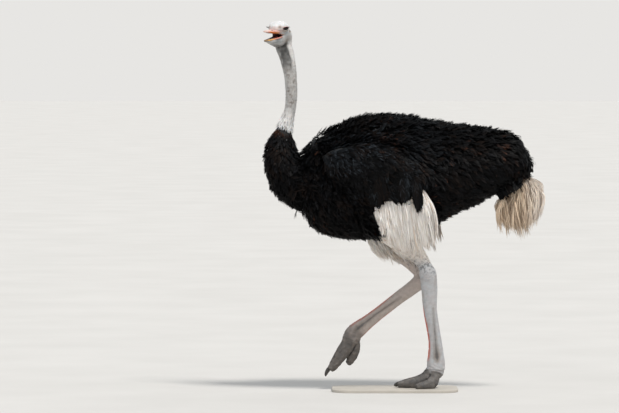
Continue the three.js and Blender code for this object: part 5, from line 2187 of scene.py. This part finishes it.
def blades(roots, ways, bends, lengths, widths, seed):
    """Flat tapering blades: (blade, corner, xyz)."""
    rng = np.random.default_rng(seed)
    share = np.array([0, 0.4, 0.75, 1.0])[:, None]
    line = roots[:, None] + lengths[:, None, None] * (share * ways[:, None] + share**2 * bends[:, None])
    side = unit(np.cross(ways, rng.normal(size=roots.shape)))
    wide = side[:, None] * (widths[:, None] / 2 * np.array([0.8, 1.0, 0.65]))[..., None]
    pairs = np.stack([line[:, :3] - wide, line[:, :3] + wide], axis=2).reshape(len(roots), 6, 3)
    return np.concatenate([pairs, line[:, 3:]], axis=1)


def add_down(name, field, roots, ways, outwards, lengths, widths, colours, node, unwrap, seed):
    """One piece of down: each blade leans out of the skin by its share, and bends back as it goes."""
    rng = np.random.default_rng(seed)
    out = slope_of(field, roots, 0.8)
    along = ways - dot(ways, out)[:, None] * out
    ways = unit(along + outwards[:, None] * out + rng.normal(0, 0.22, roots.shape))
    bends = -0.35 * outwards[:, None] * out
    points = blades(roots - out * 0.5, ways, bends, lengths, widths, seed)
    shape = np.tile(BLADE_SHAPE, (len(roots), 1, 1))
    colours = np.repeat(colours[:, None], LOCK_CORNERS, axis=1)
    add_coat(name, points, shape, Pattern, roots, colours, plume_look, "downy_skin", node, unwrap)


def neck_gap(p):
    q = to_head(p)
    on_head = ramp(q[:, 2], -75, -55)
    return 2.8 * (1 - on_head) + 2.3 * on_head


down_roots = scattered(head_points, head_faces, neck_gap, 101)
q = to_head(down_roots)
bare = (q[:, 1] < -30) & (q[:, 2] > -56)
bare |= mouth_space(q) < 7
for side in (1, -1):
    near_eye = eye_angles(q, side)[2] < EYE_RADIUS + 8
    bare |= (opening_edge(q, side) < 5.5) & near_eye
bare |= (lower_bill.distance(q) < 2.5) | (collar_height(down_roots) < 1368)
down_roots = down_roots[~bare]
q = to_head(down_roots)
rng = np.random.default_rng(102)
count = len(down_roots)
on_head = ramp(q[:, 2], -75, -50)
crown = ramp(q[:, 2], 8, 28)
collar = ramp(collar_height(down_roots), 1455, 1412)
i = nearest(neck_bare.centre, down_roots)
backwards = from_head(np.array([[0.0, 1, -0.25]])) - from_head(np.zeros((1, 3)))
ways = unit(mixed(neck_bare.ahead[i] + [0, 0.12, 0], backwards[0], on_head))
short = 3.6 + 2.6 * crown + 2.5 * ramp(q[:, 1], 20, 50)
lengths = (8.5 * (1 - on_head) + short * on_head) * rng.uniform(0.6, 1.25, count)
lengths = lengths * (1 - collar) + collar * rng.uniform(20, 34, count)
widths = (0.6 * (1 - on_head) + 0.45 * on_head) * (1 - collar) + collar * 2.2
stands = (0.30 + 0.35 * crown) * (1 - collar) + 0.22 * collar
dark_share = 0.50 * (1 - on_head) + 0.16 * on_head * (1 - crown)
dark = (rng.random(count) < dark_share) & (rng.random(count) > collar)
colours = np.clip(neck_marking(down_roots) * 1.05, 0, 0.9)
colours = mixed(colours, [0.07, 0.05, 0.042], dark * rng.uniform(0.4, 1.0, count))
nape = ramp(q[:, 1], 34, 52) * ramp(q[:, 2], -75, -40)
white = np.maximum(np.maximum(collar, crown * 0.8), nape * 0.85)
colours = mixed(colours, [0.86, 0.86, 0.86], white * (1 - dark))
add_down("neck_down", head_field, down_roots, ways, stands, lengths, widths, colours, "neck_upper", round_neck, 103)

# %% [markdown]
# The thigh's down is longer and softer. It comes from the two legs and from the part of the body where they begin.

# %% Thigh down


def thigh_down(side, seed):
    rng = np.random.default_rng(seed)
    shank = legs[side]["shank"]
    points, faces = leg_meshes[0 if side == "left" else 1]
    low = scattered(points, faces, lambda p: np.where(p[:, 2] > 650, 4.4, 60.0), seed)
    high = scattered(body_points, body_faces, lambda p: np.where(shank.distance(p) < 20, 5.5, 60.0), seed + 1)
    top = 790 if side == "left" else 750
    low = low[(low[:, 2] > 655 + 25 * noise(low, 40, 104)) & (low[:, 2] < top)]
    high = high[(shank.distance(high) < 5) & between(high[:, 2], top - 10, 930) & (high[:, 1] > -128)]
    roots = np.vstack([low, high])
    i = nearest(shank.centre, roots)
    count = len(roots)
    rising = ramp(roots[:, 2], 650, 780)
    longer = 1.0 if side == "left" else 1.9
    lengths = (12 + 16 * rising) * rng.uniform(0.6, 1.3, count) * longer
    colours = mixed(np.tile(WHITE_PLUME * 0.95, (count, 1)), TAN_PLUME, rng.random(count) ** 3 * 0.8)
    colours = mixed(colours, THIGH_WHITE * 0.7, (1 - rising) * 0.6)
    name, node = f"thigh_down_{side}", f"shank_{side}"
    stands = rng.uniform(0.05, 0.30, count) * longer
    widths = np.full(count, 1.9 + 0.5 * longer)
    ways = shank.ahead[i]
    add_down(name, shank.distance, roots, ways, stands, lengths, widths, colours, node, round_body, seed)


thigh_down("left", 105)
thigh_down("right", 107)

# %% [markdown]
# ## Scutes
# Down the front of each shin and along the top of each toe runs a row of overlapping horny plates, the scutes. On a
# male that is ready to breed those of the shin turn red. Each plate is a thin closed shield, higher at its lower edge
# where it lies on the next, and it is bent to the leg by moving its points onto the leg's surface.

# %% Scute plates
PLATE_SIDES = 12


def plate():
    """One plate from -1 to 1: places with a height, and faces."""
    turn = 2 * math.pi * np.arange(PLATE_SIDES) / PLATE_SIDES
    ring = np.stack([np.cos(turn), np.sin(turn)], axis=1)
    ring = np.sign(ring) * np.abs(ring) ** 0.7
    levels = ((1.0, -0.5), (0.96, 0.6), (0.75, 1.0))
    rows = [np.column_stack([ring * size, np.full(PLATE_SIDES, high)]) for size, high in levels]
    places = np.vstack([*rows, [[0, 0, 1.15], [0, 0, -0.6]]])
    k = np.arange(PLATE_SIDES)
    after, last = (k + 1) % PLATE_SIDES, 2 * PLATE_SIDES
    top, bottom = np.full_like(k, len(places) - 2), np.full_like(k, len(places) - 1)
    tris = [np.stack([last + k, last + after, top], axis=1), np.stack([after, k, bottom], axis=1)]
    return places, ring_faces(3, PLATE_SIDES), np.vstack(tris)


def row_of_plates(body, front, start, end, step, wide, long, rise, seed, side):
    """Plates along one side of a body. Front is +1 on its upper side and -1 on its lower."""
    field = lambda p: leg_field(p, side)
    rng = np.random.default_rng(seed)
    length = np.linalg.norm(np.diff(body.centre, axis=0), axis=1)
    reach = np.concatenate([[0], np.cumsum(length)])
    at = np.arange(start * reach[-1], end * reach[-1], step)
    i = np.clip(np.searchsorted(reach, at), 0, len(body.centre) - 1)
    high = body.size[i, 1 if front > 0 else 2]
    middle = body.centre[i] + front * body.above[i] * high[:, None]
    places = plate()[0]
    across = wide * rng.uniform(0.9, 1.1, len(i))
    along = long * rng.uniform(0.9, 1.1, len(i))
    points = middle[:, None] + body.across[i][:, None] * (places[:, 0] * across[:, None])[..., None]
    points = points + body.ahead[i][:, None] * (places[:, 1] * along[:, None])[..., None]
    flat = points.reshape(-1, 3)
    for _ in range(3):
        flat = flat - slope_of(field, flat, 0.6) * field(flat)[:, None]
    out = slope_of(field, flat, 0.6)
    towards_foot = 1 if body is legs[side]["tarsus"] else -1
    height = rise * (places[:, 2] + 0.55 * (places[:, 1] * towards_foot + 1))
    flat = flat + out * np.tile(height, len(i))[:, None]
    return flat.reshape(len(i), -1, 3)


SCUTE_TINT = [(0.55, 0.5, 0.47)]
scute_look = grained("scute", (160, 5), None, (0.35, 0.7, 0.6), SCUTE_TINT, (0.35, 0.6), (0.0006, 0.5))

SCUTE_ROWS = (
    # part, side of the body, start, end, step, half-width, half-length, height
    ("tarsus", -1, 0.24, 0.90, 8.2, 8.5, 5.6, 1.1),
    ("inner", 1, 0.16, 0.88, 8.6, 12.0, 6.0, 1.3),
    ("outer", 1, 0.20, 0.85, 7.4, 8.0, 5.2, 1.1),
)
for side, seed in (("left", 111), ("right", 112)):
    pieces, colours, spots = [], [], []
    for number, (part, *row) in enumerate(SCUTE_ROWS):
        points = row_of_plates(legs[side][part], *row, seed, side)
        here = points.mean(axis=1)
        colour = leg_marking(here, side) * 1.15
        if part == "tarsus":
            share = np.linspace(row[1], row[2], len(here))
            red = ramp(share, 0.27, 0.36) * ramp(share, 0.88, 0.80) * (0.95 if side == "left" else 0.5)
            colour = mixed(colour, SHIN_RED, red)
        pieces.append(points)
        colours.append(np.repeat(colour[:, None], points.shape[1], axis=1))
        column = np.full(len(here), (number + 0.5) / len(SCUTE_ROWS))
        spots.append(np.stack([column, np.linspace(0.03, 0.97, len(here))], axis=1))
    points, colours, spots = (np.concatenate(rows) for rows in (pieces, colours, spots))
    places, *faces = plate()
    name, node = f"scutes_{side}", f"tarsus_{side}"
    add_tufts(name, points, faces, colours, scute_look, "leg_skin", node, spots, places[:, :2] / 2)

# %% [markdown]
# ## Claws
# Only the big inner toe carries a real claw. It is a blunt black nail, flat below, worn at its tip.

# %% The claws
CLAWS = {
    "left": [[-14, -44, 9, 5, 3.5, 9], [-14, -36, 16, 9, 7, 14], [-13, -18, 24, 12, 9, 14], [-12, 0, 28, 10, 8, 10]],
    "right": [
        [-67, -404, 54, 4, 4, 5],
        [-67, -401, 70, 8, 8, 9],
        [-67, -391, 90, 11, 10, 12],
        [-68, -380, 106, 9, 8, 8],
    ],
}
CLAW_COLOURS = ((0.018, 0.017, 0.016), (0.075, 0.066, 0.058))
STREAKED = (1.0, 0.3, 1.0)
claw_look = grained(
    "claw_horn", (220, 5), STREAKED, (0.35, 0.7, 1), CLAW_COLOURS, (0.28, 0.5), (0.0006, 0.6)
)
CLAW_STEP = 1.3
SOLE = 0.5  # the standing claw ends this far above the base
for side, rows in CLAWS.items():
    claw = Body(rows, cap=0.25, samples=40)
    lowest = SOLE if side == "left" else -999.0

    def claw_field(p):
        return np.maximum(claw.distance(p), lowest - p[:, 2])

    low, high = claw.box
    points, faces = surface_net(claw_field, low - 5, high + 5, CLAW_STEP)
    points, out = settled(claw_field, points)
    points = points + out * (noise(points * [1, 0.3, 1], 5, 121) * 0.25)[:, None]
    add_piece(f"claw_horn_{side}", points, faces, claw_look, "claw", (f"claw_{side}",))

# %% [markdown]
# ## The base
# The base is the one part that keeps its solid. It gets a matt paint with faint mottling, so that it stays quiet.

# %% Base paint
base_look, tree, shader = new_material("base_paint")
cloud = noise_of(tree, 9, 5).outputs["Fac"]
colour = mix_colour(tree, mapped(tree, cloud, 0.3, 0.7), (0.44, 0.41, 0.36), (0.53, 0.49, 0.43))
tree.links.new(colour, shader.inputs["Base Color"])
tree.links.new(mapped(tree, cloud, 0.3, 0.7, 0.6, 0.78), shader.inputs["Roughness"])
relief(tree, shader, noise_of(tree, 700, 3).outputs["Fac"], 0.0003, 0.3)
for used in frame["nodes"]["stand_base"].material_slots:
    used.material = base_look

# %% [markdown]
# ## Size
# Feathers may stand a little proud of the solids, but not more. The boxes of the solids and of the model are printed
# side by side.

# %% The size of solids and model
low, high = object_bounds()
sizes_found = {
    "solids": [list(map(float, CAD_LOW)), list(map(float, CAD_HIGH))],
    "model": [list(map(float, low)), list(map(float, high))],
}
print("solids", sizes_found["solids"], "model", sizes_found["model"])
